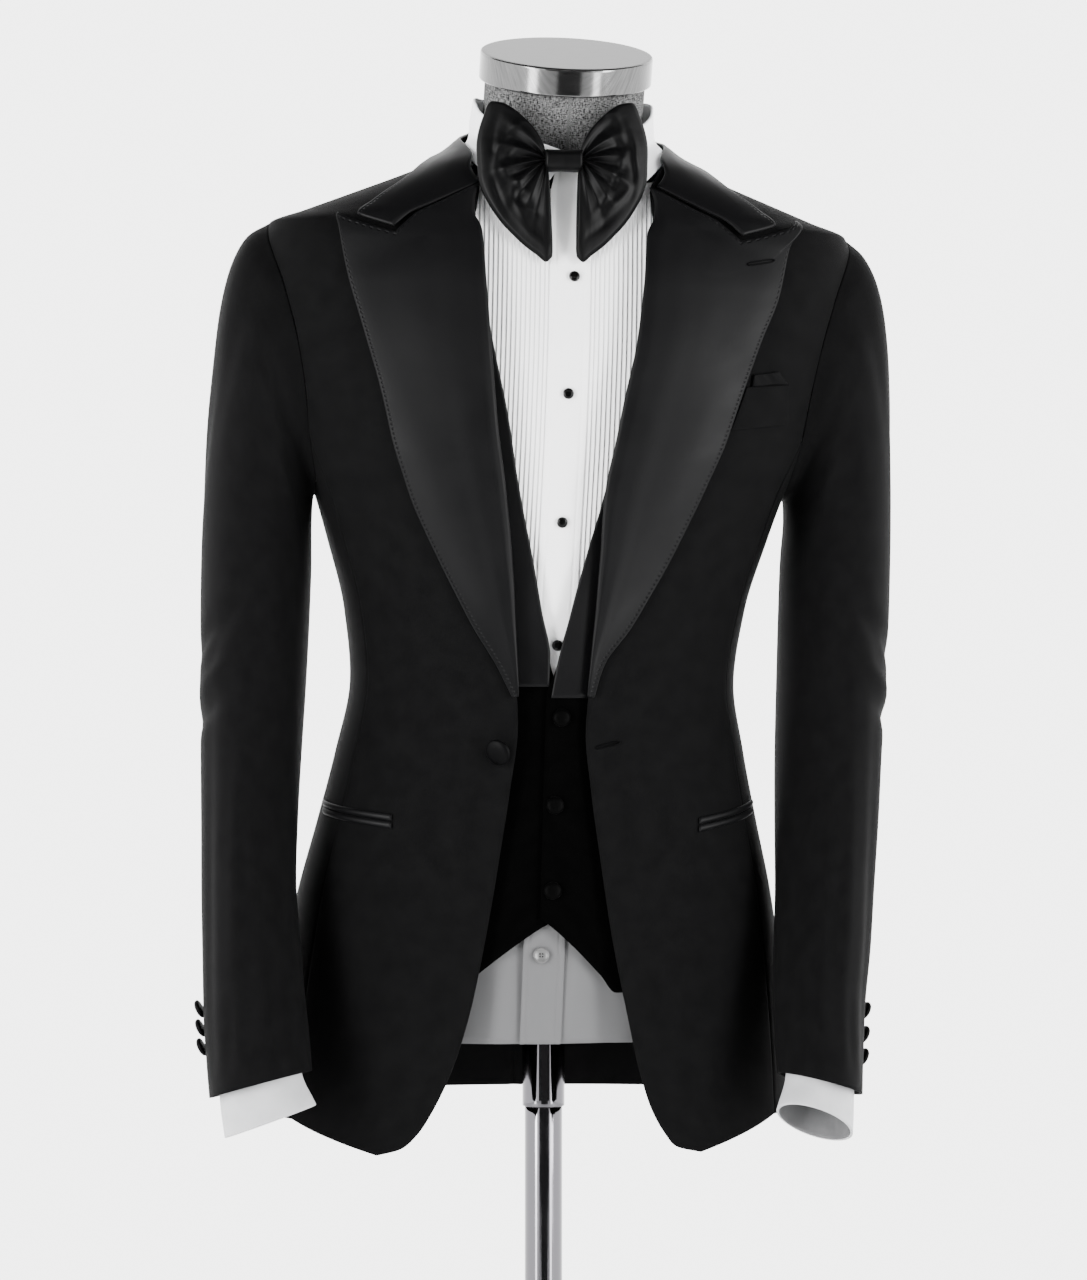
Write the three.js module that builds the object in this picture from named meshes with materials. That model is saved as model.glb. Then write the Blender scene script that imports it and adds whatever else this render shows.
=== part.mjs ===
import * as THREE from 'three';
import { toCreasedNormals } from 'three/addons/utils/BufferGeometryUtils.js';

// A black evening suit worn on a limbless dress form: jacket, waistcoat, shirt and bow tie over
// a linen-covered torso with a steel neck cap, on a chrome pole and a round plate.
// Millimetres, +Z up, the front of the garment towards -Y, the wearer's left towards +X.

const DEG = Math.PI / 180;

// Colours and finish of each cloth or metal
const STUFF = {
  wool: { color: 0x17171a, roughness: 0.9, metalness: 0 },
  satin: { color: 0x202124, roughness: 0.42, metalness: 0 },
  dark: { color: 0x0c0c0e, roughness: 0.85, metalness: 0 },
  shirting: { color: 0xf0f0ee, roughness: 0.8, metalness: 0 },
  linen: { color: 0x74726f, roughness: 0.95, metalness: 0 },
  steel: { color: 0xb9bbbd, roughness: 0.3, metalness: 1 },
  chrome: { color: 0xc4c2c8, roughness: 0.12, metalness: 1 },
  onyx: { color: 0x08080a, roughness: 0.2, metalness: 0 },
};

// The worn torso leans a little to one side over its upright pole
const LEAN = 0.036;
const LEAN_PIVOT = 1180;
const SHOULDER_DROP = 0.02;
const DROP_FROM = 1100;
const DROP_OVER = 400;

// Sewn edges stop this far short of the seam line, so two pieces stand twice as far apart
const SEAM_EASE = 0.15;
const SLEEVE_EASE = 0.3;
const JACKET_WALL = 2;
const LAPEL_WALL = 1.9;
const LAID_ON = 1.6;

// Level sections of the jacket: height, half-width, depth in front, depth behind, squareness
const COAT_SECTIONS = [
  [790, 208, 117, 112, 2.2], [860, 201, 114, 110, 2.2], [920, 193, 110, 107, 2.2],
  [984, 182, 104, 100, 2.2], [1038, 169, 99, 94, 2.25], [1091, 157, 96, 89, 2.3],
  [1145, 147.7, 95, 86, 2.3], [1199, 154, 98, 89, 2.35], [1253, 169, 106, 97, 2.45],
  [1290, 181, 112, 103, 2.55], [1330, 197, 116, 108, 2.6], [1382, 210, 114, 111, 2.6],
  [1440, 222, 103, 106, 2.55], [1475, 227, 92, 99, 2.45], [1490, 222, 86, 96, 2.4],
  [1500, 197, 82, 94, 2.4], [1515, 159, 76, 91, 2.35], [1530, 121.5, 69, 88, 2.3],
  [1545, 88, 62, 84.5, 2.2], [1555, 78, 58, 82, 2.1], [1566, 73, 56, 79, 2.05],
  [1577, 71, 54, 75, 2], [1592, 70, 52, 72, 2],
];

// Level sections of the padded torso, in the same columns
const TORSO_SECTIONS = [
  [870, 156, 91, 92, 2.2], [893, 158, 92, 93, 2.2], [930, 160, 92, 93, 2.2],
  [984, 156, 88, 88, 2.2], [1038, 147, 83, 81, 2.25], [1091, 138, 79, 74, 2.3],
  [1145, 131, 78, 70, 2.3], [1199, 136, 81, 73, 2.35], [1253, 149, 87, 81, 2.45],
  [1290, 160, 93, 86, 2.5], [1330, 172, 97, 90, 2.5], [1382, 182, 96, 92, 2.5],
  [1440, 184, 86, 88, 2.45], [1475, 178, 76, 82, 2.4], [1490, 166, 72, 79, 2.35],
  [1500, 152, 69, 77, 2.35], [1515, 126, 64, 76, 2.3], [1530, 98, 60, 74, 2.2],
  [1545, 78, 56, 71, 2.1],
];

// The neck stands on its own tilted axis
const NECK_FOOT = [0, 8, 1541];
const NECK_TILT = 18 * DEG;
const NECK_RADIUS = 61.5;
const NECK_HEIGHT = 66.7;
const CAP_RADIUS = 66.2;
const CAP_HEIGHT = 21.6;

// Armhole seam, followed round by an angle that starts on top and goes down the front
const ARMHOLE = { height: 1388, radius: 102, front: 24.5, back: 22 };
const ARMHOLE_STEPS = 6;
const FRONT_PITCH = 125;
const BACK_PITCH = 235;
const NECK_POINT = 1548;
const NAPE = 1545;

// Side seams of the jacket: share of the way up to the armhole, angle before and behind the arm
const SEAM_ANGLES = [[0, 62, 114], [0.62, 66, 112], [1, 69.93, 108.02]];
const FRONT_SEAM_HEM = 816;
const BACK_SEAM_HEM = 824;

// Front edge of the jacket: height, distance from the middle on the right and on the left side,
// and the share of the side seam met by the same row of cloth
const FRONT_EDGE = [
  [792, 121, 123, 0], [797, 104, 104, 0.01], [808, 92, 94, 0.029], [827, 80.5, 83, 0.064],
  [856, 68, 73, 0.119], [898, 56, 62.5, 0.197], [950, 46.5, 50.5, 0.288],
  [1008, 38, 40, 0.389], [1062, 31, 31, 0.483], [1104, 26.5, 25.5, 0.559],
  [1148, 29, 27.3, 0.645], [1195, 33, 30, 0.734], [1240, 37.8, 31.6, 0.822],
  [1290, 45, 33, 0.919], [1338, 53, 41, 1], [1385, 58.5, 50.5], [1432, 63, 56.5],
  [1475, 67, 59.5], [1516, 68, 62], [1540, 78, 75],
];
const SEAM_ROWS = 15;

// Lapel: height on the roll line, then distance and height of the outer edge, right and left
const LAPEL_ROWS = [
  [1134, 31, 1133, 30, 1133], [1160, 43.5, 1157, 37, 1158], [1195, 65, 1191, 57.5, 1188],
  [1240, 90, 1237, 82, 1234], [1290, 114, 1287, 105, 1286], [1345, 134, 1350, 128, 1348],
  [1398, 150, 1402, 146, 1402], [1438, 162, 1440, 158.5, 1433], [1478, 170.5, 1478, 168, 1474],
  [1517, 172, 1492.5, 175, 1496],
];
// Across the lapel: share of the width and lift of the face off the front
const LAPEL_COLUMNS = [
  [0, 3.8], [0.08, 5.4], [0.2, 5.4], [0.4, 4.6], [0.6, 4], [0.8, 3.7], [1, 3.5],
];
// Gorge and notch: place of the notch, and how its line is shared out over the rows
const NOTCH = [30.4, 1478.2];
const NOTCH_SHARE = 0.6;
const NOTCH_REACH = 3;
const ROLL_OVERHANG = 1.5;

// Collar, from the gorge to the nape: angle and height of the roll, angle and height of the
// outer edge, and the share of the notch in that row
const COLLAR_ROWS = [
  [22.8, 1518.8, 41.7, 1491, 1], [33, 1529, 46, 1504, 0.5], [45, 1540, 51, 1517.5, 0.12],
  [62, 1549, 61, 1529, 0], [76, 1554.5, 72, 1536, 0], [90, 1558.5, 87, 1540, 0],
  [105, 1563, 102, 1541, 0], [120, 1568.5, 119, 1540, 0], [135, 1574, 135, 1539, 0],
  [150, 1578.5, 150, 1537.5, 0], [165, 1582, 165, 1536.5, 0], [180, 1582.5, 180, 1536, 0],
];
// Across the collar: share of the width and lift of the face
const COLLAR_COLUMNS = [[0, 3.6], [0.3, 5.4], [0.6, 5.8], [0.8, 5.6], [1, 5.3]];
const COLLAR_NOTCH = [31.1, 1482];
const COLLAR_WALL = 2.2;

// Sleeve sections down the arm: centre depth, half depth, pitch of the plane, share of the
// armhole's own shape
const SLEEVE_SHAPE = [
  [0, 57, 0, 1], [2, 58, 0, 0.85], [4, 59.5, 0, 0.6], [6, 61, 0, 0.35], [8, 61.5, 0, 0.15],
  [9, 61, 0, 0], [8, 60, 0.02, 0], [4, 58, 0.06, 0], [-3, 56, 0.13, 0], [-13, 54, 0.22, 0],
  [-30, 52.5, 0.3, 0], [-49, 51, 0.36, 0], [-67, 50, 0.4, 0], [-84, 49, 0.38, 0],
  [-97, 48, 0.27, 0], [-106, 47, 0.12, 0],
];
// Outer and inner edge of each sleeve section, seen from the front: x and z, x and z
const RIGHT_ARM = [
  [-212.5, 1491, -177, 1286], [-228.4, 1482, -178, 1284.5], [-240.6, 1461, -178, 1282],
  [-248.9, 1427, -178, 1278], [-254.2, 1381, -178, 1270], [-258.8, 1329, -178, 1258],
  [-261.8, 1268, -178, 1237], [-263.1, 1207, -179.4, 1199], [-263.6, 1145.5, -182.4, 1145.5],
  [-263.5, 1092.3, -186.3, 1092], [-263.5, 1039.6, -190, 1041], [-263.8, 987.5, -192.2, 991],
  [-263.5, 943.3, -190, 950.3], [-263.1, 899.5, -187.3, 910], [-261.2, 863, -184.5, 879],
  [-259.3, 837, -183.1, 856.7],
];
const LEFT_ARM = [
  [235.4, 1488, 188, 1286], [249.1, 1476, 190, 1285], [259.6, 1455, 190, 1283],
  [265.9, 1426, 189.5, 1280], [269.8, 1382, 189, 1272], [271.5, 1329.3, 188, 1259.7],
  [270.9, 1269, 185.8, 1238], [269.1, 1207, 183.6, 1199], [265.5, 1145, 181, 1145],
  [260.6, 1091, 178.2, 1091.3], [255, 1037.6, 175.5, 1039.5], [248.3, 984.7, 173, 989],
  [242.5, 940, 169, 944], [235.3, 895.5, 166, 907.4], [231.7, 858.7, 165.9, 874.4],
  [229.4, 834.6, 166.2, 852],
];
// Lower end of each shirt cuff: outer x and z, inner x and z, centre depth, half depth, pitch
const CUFF_END = {
  right: [-248, 808, -180.5, 832, -113, 42, 0.1],
  left: [221, 804, 164.5, 826, -113, 42, 0.33],
};
const SLEEVE_RINGS = [0, 1, 2, 3, 4, 5, 6, 7, 9, 11, 13, 14, 15];
const CUFF_FROM = 13;
const SHIRT_ARM_RINGS = [0, 1, 2, 3, 5, 7, 9, 11, 13];
const SHIRT_ARM_SHARE = 0.75;
const CUFF_WALL = 2;
const SHIRT_ARMHOLE = { height: 1388, radius: 88, front: 20, back: 20 };
const SHIRT_ARM_STEPS = 7;

// Shirt: rows up the side seam and the middle of the front, then the neckline
const SHIRT_SEAM = [874, 930, 990, 1045, 1100, 1150, 1200, 1250, 1300];
const SHIRT_MIDDLE = [1340, 1385, 1430, 1475, 1512];
const SHIRT_NECKLINE = [[40, 1527], [90, 1545]];
const SHIRT_NAPE = [[90, 1476], [90, 1510], [90, 1545], [120, 1546], [150, 1547], [180, 1547]];
const SHIRT_OUTER = 2;
const SHIRT_WALL = 1.2;
const SHIRT_SINK = 2.7;
const SHIRT_NECK_ZONE = [1478, 1505];
const SHIRT_NAPE_SHARE = 0.6;
const SHIRT_BIB_ZONE = [30, 42];
const SHIRT_BIB_FOOT = [1050, 1100];

// Tucked bib on the front of the shirt
const BIB_HEIGHTS = [1110, 1180, 1250, 1325, 1420, 1512];
const TUCKS = 16;
const TUCK_PITCH = 3.5;
const TUCK_FACE = 2.9;
const TUCK_RISE = 0.9;
const BIB_OFFS = [3.3, 2.4];
const PLACKET_CHEST = [1340, 1385, 1430, 1450, 1475, 1512, 1530];
const PLACKET_MIDDLE = 1.5;
const PLACKET_HALF = 15.3;
const PLACKET_TOP_HALF = 6.5;
const PLACKET_DRIFT = 0.0045;
const PLACKET_OFFS = [4.6, 3];

// Shirt collar leaf from the front round to the nape: angle and height of the top edge on the
// neck, angle and height of the lower edge, and whether that edge lies on the chest
const LEAF_ROWS = [
  [5, 27, 8.8, 1492, true], [14, 30, 13.5, 1505, true], [35, 36, 28.6, 1522, true],
  [62, 42.5, 47.8, 1534, true], [76, 45.8, 68, 1541, true], [92, 49, 92, 6, false],
  [110, 46.5, 110, 4, false], [128, 41, 128, 3, false], [146, 38, 146, 2, false],
  [163, 36, 163, 1.2, false], [180, 35.5, 180, 1, false],
];
const LEAF_RADII = [69.5, 71.3, 71.5];
const LEAF_WALL = 2;
const LEAF_OFF = 7.4;

// Collar stand and the band of the bow, each a ring round the neck: radius outside and inside,
// lower and upper height at the front and at the nape
const STAND_RING = [64, 62.7, 14, 25.5, 12, 40];
const BAND_RING = [66.2, 64.7, 12, 22, 17, 32];

// Waistcoat: height and distance from the middle of the front edge
const WAISTCOAT_EDGE = [
  [1150, 0.5], [1180, 7.4], [1236, 19.5], [1295, 33.5], [1350, 44.5], [1400, 56.5],
  [1450, 66], [1490, 75], [1512, 86],
];
const WAISTCOAT_CLOSURE = [967, 1000, 1045, 1090, 1131];
const WAISTCOAT_SEAM_ROWS = 9;
const WAISTCOAT_LAP = { right: -8, left: -4.5 };
const WAISTCOAT_POINT = { right: [60, 917], left: [54, 912] };
const WAISTCOAT_SIDE_HEM = 936;
const WAISTCOAT_ARMHOLE = { height: 1388, radius: 118, front: 30, back: 30 };
const WAISTCOAT_ARM_STEPS = 6;
const WAISTCOAT_NECK = 1524;
const WAISTCOAT_NAPE = [[90, 1506], [90, 1515], [90, 1524], [120, 1523.5], [150, 1523], [180, 1523]];
const WAISTCOAT_SHARES = [0, 0.06, 0.1, 0.16, 0.24, 0.4, 0.55, 0.7, 0.85, 1];
const WAISTCOAT_POINT_COLUMN = 4;
const WAISTCOAT_WALL = 2;
const WAISTCOAT_LIFT = 3;
const WAISTCOAT_BACK_EASE = 1;
const BAND_WIDTH = 34;
const BAND_HEIGHTS = [1165, 1195, 1236, 1295, 1350, 1400, 1450, 1485];
const BAND_END = { right: [1141, 3], left: [1132.5, -1.5] };
const BAND_OVERHANG = 0.6;
const BAND_WALL = 1.4;
const BAND_LIFT = 1.1;

// Hip pockets: distance from the middle and height of the inner and the outer end
const POCKETS = { right: [116.8, 1040, 164.4, 1049], left: [115, 1036.5, 161, 1048.5] };
const JET_HALF = 2.4;
const JET_PITCH = 2.9;
const JET_OFFS = [2.2, 0.8];
// Breast welt and the cloth in it: distance and height of the four corners
const WELT = [[124.8, 1335], [171, 1341.5], [170, 1371], [136, 1367.5]];
const KERCHIEF = [[140.5, 1368.5], [169, 1371.6], [162, 1380.6], [141.5, 1377]];
const WELT_OFFS = [2.6, 0.8];

// Buttons: radius, then shares of the radius and heights of the profile
const DOME = [[0.8, 0], [1, 1.5], [0.86, 3.4], [0.45, 4.3]];
const STUD_FACE = [[0.85, 0], [1, 0.9], [0.8, 2.2]];
const BUTTON_SIDES = 8;
const STUD_GAP = 0.6;
const JACKET_BUTTON = { radius: 10.4, at: [39.7, 1092.3], off: 5.3, face: [-0.55, -0.76, -0.34] };
const CUFF_BUTTONS = { radius: 7.2, turn: -14, off: 1.8, fall: 0.5 };
const CUFF_BUTTON_PLACES = { right: [12.87, 13.23, 13.62], left: [12.9, 13.37, 13.83] };
const WAISTCOAT_BUTTONS = { radius: 6.75, at: [[6.7, 1117.5], [3.9, 1051], [3.7, 987.5]] };
const STUDS = { radius: 4.2, at: [[4.7, 1447.3], [2, 1360], [1.7, 1265], [2.3, 1172.3]] };
const SHIRT_BUTTON = { radius: 6, at: [-2.7, 940] };

// Outline of a bow wing about the side of the knot: angle from the wearer's left, reach
const WING_OUTLINE = [
  [127, 55.5], [133.5, 61], [144, 57.7], [161, 54.4], [182.5, 51.8], [197, 53], [219, 55],
  [243, 61.1], [256, 67.5], [264, 72.5], [269, 77], [272.5, 73.3],
];
// Along the wing: share of the reach, half thickness, how far its upper edge swings inwards
const WING_ROWS = [
  [0.07, 3.4, 24], [0.2, 5.2, 22], [0.42, 6, 16], [0.66, 5.4, 9], [0.86, 3.6, 4], [1, 1.1, 0],
];
const WING_FOLDS = 3.5;
const WING_FOLD_DEPTH = 1.3;
const WING_LEAN = 0.13;
const WING_SWEEP = 0.1;
const KNOT = { x: 6.9, y: -77.4, z: 1536.6, half: [12.2, 12.3, 8.4] };
const WING_DEPTH = -80.1;

// Neck of the torso: height, share of the neck in the ring, height along the neck axis
const NECK_BLEND = [[1500, 0.12, -30], [1512, 0.3, -20], [1524, 0.52, -10], [1536, 0.75, 0],
  [1545, 0.93, 10]];

// Stand: radius and height of the plate and boss, then the pole and its sleeve tube
const PLATE = [[158.5, 0], [160, 1.5], [160, 9], [158.5, 10.5], [26, 10.6], [24, 24]];
const POLE = { radius: 14.5, from: 24.3, to: 817.7 };
const TUBE = { radius: 16.3, from: 818, to: 892.7 };

// Numbers

function mix(a, b, share) {
  return a + (b - a) * share;
}

function ramp(value, from, to) {
  return Math.min(1, Math.max(0, (value - from) / (to - from)));
}

function add3(p, q, scale = 1) {
  return [p[0] + q[0] * scale, p[1] + q[1] * scale, p[2] + q[2] * scale];
}

function mix3(p, q, share) {
  return p.map((value, axis) => mix(value, q[axis], share));
}

function unit(p) {
  const length = Math.hypot(...p);
  return p.map((value) => value / length);
}

function cross(p, q) {
  return [p[1] * q[2] - p[2] * q[1], p[2] * q[0] - p[0] * q[2], p[0] * q[1] - p[1] * q[0]];
}

// Smooth reading between the rows of a table, with no overshoot between them
function smoothTable(rows) {
  const last = rows.length - 1;
  const slope = (i, c) => (rows[i + 1][c] - rows[i][c]) / (rows[i + 1][0] - rows[i][0]);
  const tangent = (i, c) => {
    if (i === 0) return slope(0, c);
    if (i === last) return slope(last - 1, c);
    const before = slope(i - 1, c);
    const after = slope(i, c);
    return before * after > 0 ? (2 * before * after) / (before + after) : 0;
  };
  return (key) => {
    const place = Math.min(Math.max(key, rows[0][0]), rows[last][0]);
    let i = 0;
    while (i < last - 1 && place > rows[i + 1][0]) i += 1;
    const step = rows[i + 1][0] - rows[i][0];
    const s = (place - rows[i][0]) / step;
    return rows[i].map((value, c) => value * (2 * s ** 3 - 3 * s ** 2 + 1)
      + rows[i + 1][c] * (3 * s ** 2 - 2 * s ** 3)
      + tangent(i, c) * step * (s ** 3 - 2 * s ** 2 + s)
      + tangent(i + 1, c) * step * (s ** 3 - s ** 2));
  };
}

function lean(p) {
  const fade = ramp(p[2], DROP_FROM, DROP_FROM + DROP_OVER);
  return [p[0] + LEAN * (p[2] - LEAN_PIVOT), p[1], p[2] - SHOULDER_DROP * p[0] * fade];
}

// A body shape read from level sections: points by angle from the middle of the front, by
// height, and by distance off the surface
function bodyShape(sections) {
  const sizes = smoothTable(sections);
  const runs = [[sections[0][0], 0]];
  sections.slice(1).forEach((row, i) => {
    const before = sections[i];
    runs.push([row[0], runs[i][1] + Math.hypot(row[0] - before[0], row[1] - before[1])]);
  });
  const along = (from, to) => (value) => {
    let i = 0;
    while (i < runs.length - 2 && value > runs[i + 1][from]) i += 1;
    const share = (value - runs[i][from]) / (runs[i + 1][from] - runs[i][from]);
    return mix(runs[i][to], runs[i + 1][to], share);
  };
  const ring = (angle, height) => {
    const [, side, front, back, power] = sizes(height);
    const s = Math.sin(angle);
    const c = Math.cos(angle);
    const depth = c > 0 ? front : back;
    return [side * Math.sign(s) * Math.abs(s) ** (2 / power),
      -depth * Math.sign(c) * Math.abs(c) ** (2 / power), height];
  };
  return {
    run: along(0, 1),
    height: along(1, 0),
    // Angle, in degrees, of a point of the front at a distance from the middle
    angle(distance, height) {
      const [, side, , , power] = sizes(height);
      const share = Math.min(1, Math.abs(distance) / side);
      return (Math.sign(distance) * Math.asin(share ** (power / 2))) / DEG;
    },
    at(angle, height, off = 0) {
      const turn = angle * DEG;
      const across = add3(ring(turn + 0.02, height), ring(turn - 0.02, height), -1);
      const up = add3(ring(turn, height + 1.5), ring(turn, height - 1.5), -1);
      return lean(add3(ring(turn, height), unit(cross(across, up)), off));
    },
  };
}

// Solids

// A closed body from points and triangles, turned so that its faces look outwards
function solid(points, faces) {
  const volume = faces.reduce((sum, [a, b, c]) => {
    const [x, y, z] = cross(points[a], points[b]);
    return sum + x * points[c][0] + y * points[c][1] + z * points[c][2];
  }, 0);
  const index = faces.flatMap(([a, b, c]) => (volume < 0 ? [a, c, b] : [a, b, c]));
  const geometry = new THREE.BufferGeometry();
  geometry.setAttribute('position', new THREE.Float32BufferAttribute(points.flat(), 3));
  geometry.setIndex(index);
  return geometry;
}

function quad(faces, a, b, c, d) {
  faces.push([a, b, c], [a, c, d]);
}

// Cloth with a wall: an outer and an inner grid of points, joined round their rims
function skin(outer, inner, closed = false) {
  const rows = outer.length;
  const cols = outer[0].length;
  const spans = closed ? cols : cols - 1;
  const faces = [];
  const at = (side, i, j) => side * rows * cols + i * cols + (j % cols);
  for (let j = 0; j < spans; j += 1) {
    for (let i = 0; i < rows - 1; i += 1) {
      quad(faces, at(0, i, j), at(0, i, j + 1), at(0, i + 1, j + 1), at(0, i + 1, j));
      quad(faces, at(1, i, j), at(1, i + 1, j), at(1, i + 1, j + 1), at(1, i, j + 1));
    }
    const top = rows - 1;
    quad(faces, at(1, 0, j), at(1, 0, j + 1), at(0, 0, j + 1), at(0, 0, j));
    quad(faces, at(0, top, j), at(0, top, j + 1), at(1, top, j + 1), at(1, top, j));
  }
  if (!closed) {
    const end = cols - 1;
    for (let i = 0; i < rows - 1; i += 1) {
      quad(faces, at(0, i, 0), at(0, i + 1, 0), at(1, i + 1, 0), at(1, i, 0));
      quad(faces, at(1, i, end), at(1, i + 1, end), at(0, i + 1, end), at(0, i, end));
    }
  }
  return solid([...outer.flat(), ...inner.flat()], faces);
}

// A filled body through a stack of closed rings, with a flat or domed cap at each end
function stack(rings) {
  const count = rings[0].length;
  const points = rings.flat();
  const middle = (ring) => ring.reduce((sum, p) => add3(sum, p, 1 / count), [0, 0, 0]);
  const foot = points.length;
  points.push(middle(rings[0]), middle(rings[rings.length - 1]));
  const faces = [];
  const base = (rings.length - 1) * count;
  for (let j = 0; j < count; j += 1) {
    const next = (j + 1) % count;
    for (let i = 0; i < rings.length - 1; i += 1) {
      const low = i * count;
      quad(faces, low + j, low + next, low + count + next, low + count + j);
    }
    faces.push([foot, next, j], [foot + 1, base + j, base + next]);
  }
  return solid(points, faces);
}

// Rings round an axis from a profile of radius and height
function turned(origin, axis, profile, count) {
  const along = unit(axis);
  const side = unit(cross(Math.abs(along[2]) > 0.9 ? [0, 1, 0] : [0, 0, 1], along));
  const over = cross(along, side);
  return stack(profile.map(([radius, height]) => Array.from({ length: count }, (_, j) => {
    const turn = (2 * Math.PI * j) / count;
    const flat = add3(add3(origin, side, radius * Math.cos(turn)), over, radius * Math.sin(turn));
    return add3(flat, along, height);
  })));
}

// The rim points of a grid drawn in along its own lines
function eased(grid, ease) {
  const rows = grid.length;
  const cols = grid[0].length;
  const pull = (p, q, by) => add3(p, unit(add3(q, p, -1)), by);
  return grid.map((row, i) => row.map((point, j) => {
    let p = point;
    if (ease.start && j === 0) p = pull(p, row[1], ease.start);
    if (ease.end && j === cols - 1) p = pull(p, row[j - 1], ease.end);
    if (ease.foot && i === 0) p = pull(p, grid[1][j], ease.foot);
    if (ease.head && i === rows - 1) p = pull(p, grid[i - 1][j], ease.head);
    return p;
  }));
}

// Angle and height of every node between two edges, evenly run over the surface; the first and
// last row can be given their own line, which fades out over a few rows
function panel(shape, start, end, shares, { foot, head, reach = 5 } = {}) {
  const even = (i) => shares.map((share) => [mix(start[i][0], end[i][0], share),
    mix(shape.run(start[i][1]), shape.run(end[i][1]), share)]);
  const last = start.length - 1;
  const shift = (line, i) => (line ? line.map(([angle, height], j) => {
    const [a, r] = even(i)[j];
    return [angle - a, shape.run(height) - r];
  }) : null);
  const footShift = shift(foot, 0);
  const headShift = shift(head, last);
  return start.map((_, i) => even(i).map(([angle, run], j) => {
    let a = angle;
    let r = run;
    [[footShift, i], [headShift, last - i]].forEach(([moved, rows]) => {
      if (!moved) return;
      const share = Math.max(0, 1 - rows / reach) ** 1.5;
      a += moved[j][0] * share;
      r += moved[j][1] * share;
    });
    return [a, shape.height(r)];
  }));
}

// Wall of cloth on a body shape, side -1 for the wearer's right and 1 for the left
function worn(shape, side, grid, outerOff, innerOff, ease = {}) {
  const lay = (off) => eased(grid.map((row, i) => row.map(([angle, height], j) => shape.at(
    side * angle,
    height,
    typeof off === 'function' ? off(i, j, angle, height) : off,
  ))), ease);
  return skin(lay(outerOff), lay(innerOff));
}

function shares(count) {
  return Array.from({ length: count }, (_, i) => i / (count - 1));
}

const coat = bodyShape(COAT_SECTIONS);
const torso = bodyShape(TORSO_SECTIONS);
const object = new THREE.Group();
object.name = 'tuxedo_on_dress_form';

// One group for each garment and one for the form on its stand
function garment(name) {
  const group = new THREE.Group();
  group.name = name;
  object.add(group);
  return group;
}

const jacket = garment('jacket');
const waistcoat = garment('waistcoat');
const shirt = garment('shirt');
const bow = garment('bow_tie');
const dressForm = garment('dress_form');

function piece(group, name, geometry, stuff) {
  const mesh = new THREE.Mesh(toCreasedNormals(geometry, 0.7),
    new THREE.MeshStandardMaterial(STUFF[stuff]));
  mesh.name = name;
  group.add(mesh);
}

const SIDES = [{ name: 'right', side: -1, column: 1 }, { name: 'left', side: 1, column: 2 }];

// Armhole

function armholePoint(hole, angle) {
  const s = Math.sin(angle * DEG);
  return [90 - (s > 0 ? hole.front : hole.back) * s,
    hole.height + hole.radius * Math.cos(angle * DEG)];
}

// Armhole points between two angles of its loop
function armholeRun(hole, from, to, steps) {
  return shares(steps + 1).map((share) => armholePoint(hole, mix(from, to, share)));
}

const ARM_ANGLES = [
  ...shares(ARMHOLE_STEPS + 1).map((share) => mix(0, FRONT_PITCH, share)),
  ...shares(ARMHOLE_STEPS + 1).slice(1).map((share) => mix(FRONT_PITCH, BACK_PITCH, share)),
  ...shares(ARMHOLE_STEPS + 1).slice(1, -1).map((share) => mix(BACK_PITCH, 360, share)),
];

// Jacket body

const seamAngles = smoothTable(SEAM_ANGLES);
const seamTop = armholePoint(ARMHOLE, FRONT_PITCH)[1];
const seamShares = FRONT_EDGE.slice(0, SEAM_ROWS).map((row) => row[3]);
const frontSeam = seamShares.map((share) => [seamAngles(share)[1],
  mix(FRONT_SEAM_HEM, seamTop, share)]);
const backSeam = seamShares.map((share) => [seamAngles(share)[2],
  mix(BACK_SEAM_HEM, seamTop, share)]);
const frontEdge = smoothTable(FRONT_EDGE.map((row) => row.slice(0, 3)));

SIDES.forEach(({ name, side, column }) => {
  const edge = FRONT_EDGE.map((row) => [coat.angle(row[column], row[0]), row[0]]);
  const frontArm = armholeRun(ARMHOLE, FRONT_PITCH, 0, ARMHOLE_STEPS);
  const front = panel(coat, [...edge, [90, NECK_POINT]], [...frontSeam, ...frontArm.slice(1)],
    shares(9));
  piece(jacket, `jacket_front_${name}`, worn(coat, side, front, 0, -JACKET_WALL,
    { end: SEAM_EASE, head: SEAM_EASE }), 'wool');

  const under = armholeRun(ARMHOLE, FRONT_PITCH, BACK_PITCH, ARMHOLE_STEPS);
  const flank = panel(coat, frontSeam, backSeam, shares(ARMHOLE_STEPS + 1),
    { head: under, reach: 6 });
  piece(jacket, `jacket_side_${name}`, worn(coat, side, flank, 0, -JACKET_WALL,
    { start: SEAM_EASE, end: SEAM_EASE, head: SEAM_EASE }), 'wool');

  const backArm = armholeRun(ARMHOLE, BACK_PITCH, 360, ARMHOLE_STEPS);
  const spine = [...backSeam.map(([, height]) => [180, height]),
    ...shares(ARMHOLE_STEPS + 1).slice(1).map((share) => [180, mix(seamTop, NAPE, share)])];
  const tip = armholePoint(ARMHOLE, 0)[1];
  const shoulder = shares(5).map((share) => [90,
    coat.height(mix(coat.run(tip), coat.run(NECK_POINT), share))]);
  const nape = shares(4).slice(1).map((share) => [mix(90, 180, share),
    mix(NECK_POINT, NAPE, share)]);
  const back = panel(coat, [...backSeam, ...backArm.slice(1)], spine, shares(8),
    { head: [...shoulder, ...nape], reach: 7 });
  piece(jacket, `jacket_back_${name}`, worn(coat, side, back, 0, -JACKET_WALL,
    { start: SEAM_EASE, end: SEAM_EASE, head: SEAM_EASE }), 'wool');
});

// Sleeves of the jacket and of the shirt, and the shirt cuffs

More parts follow.
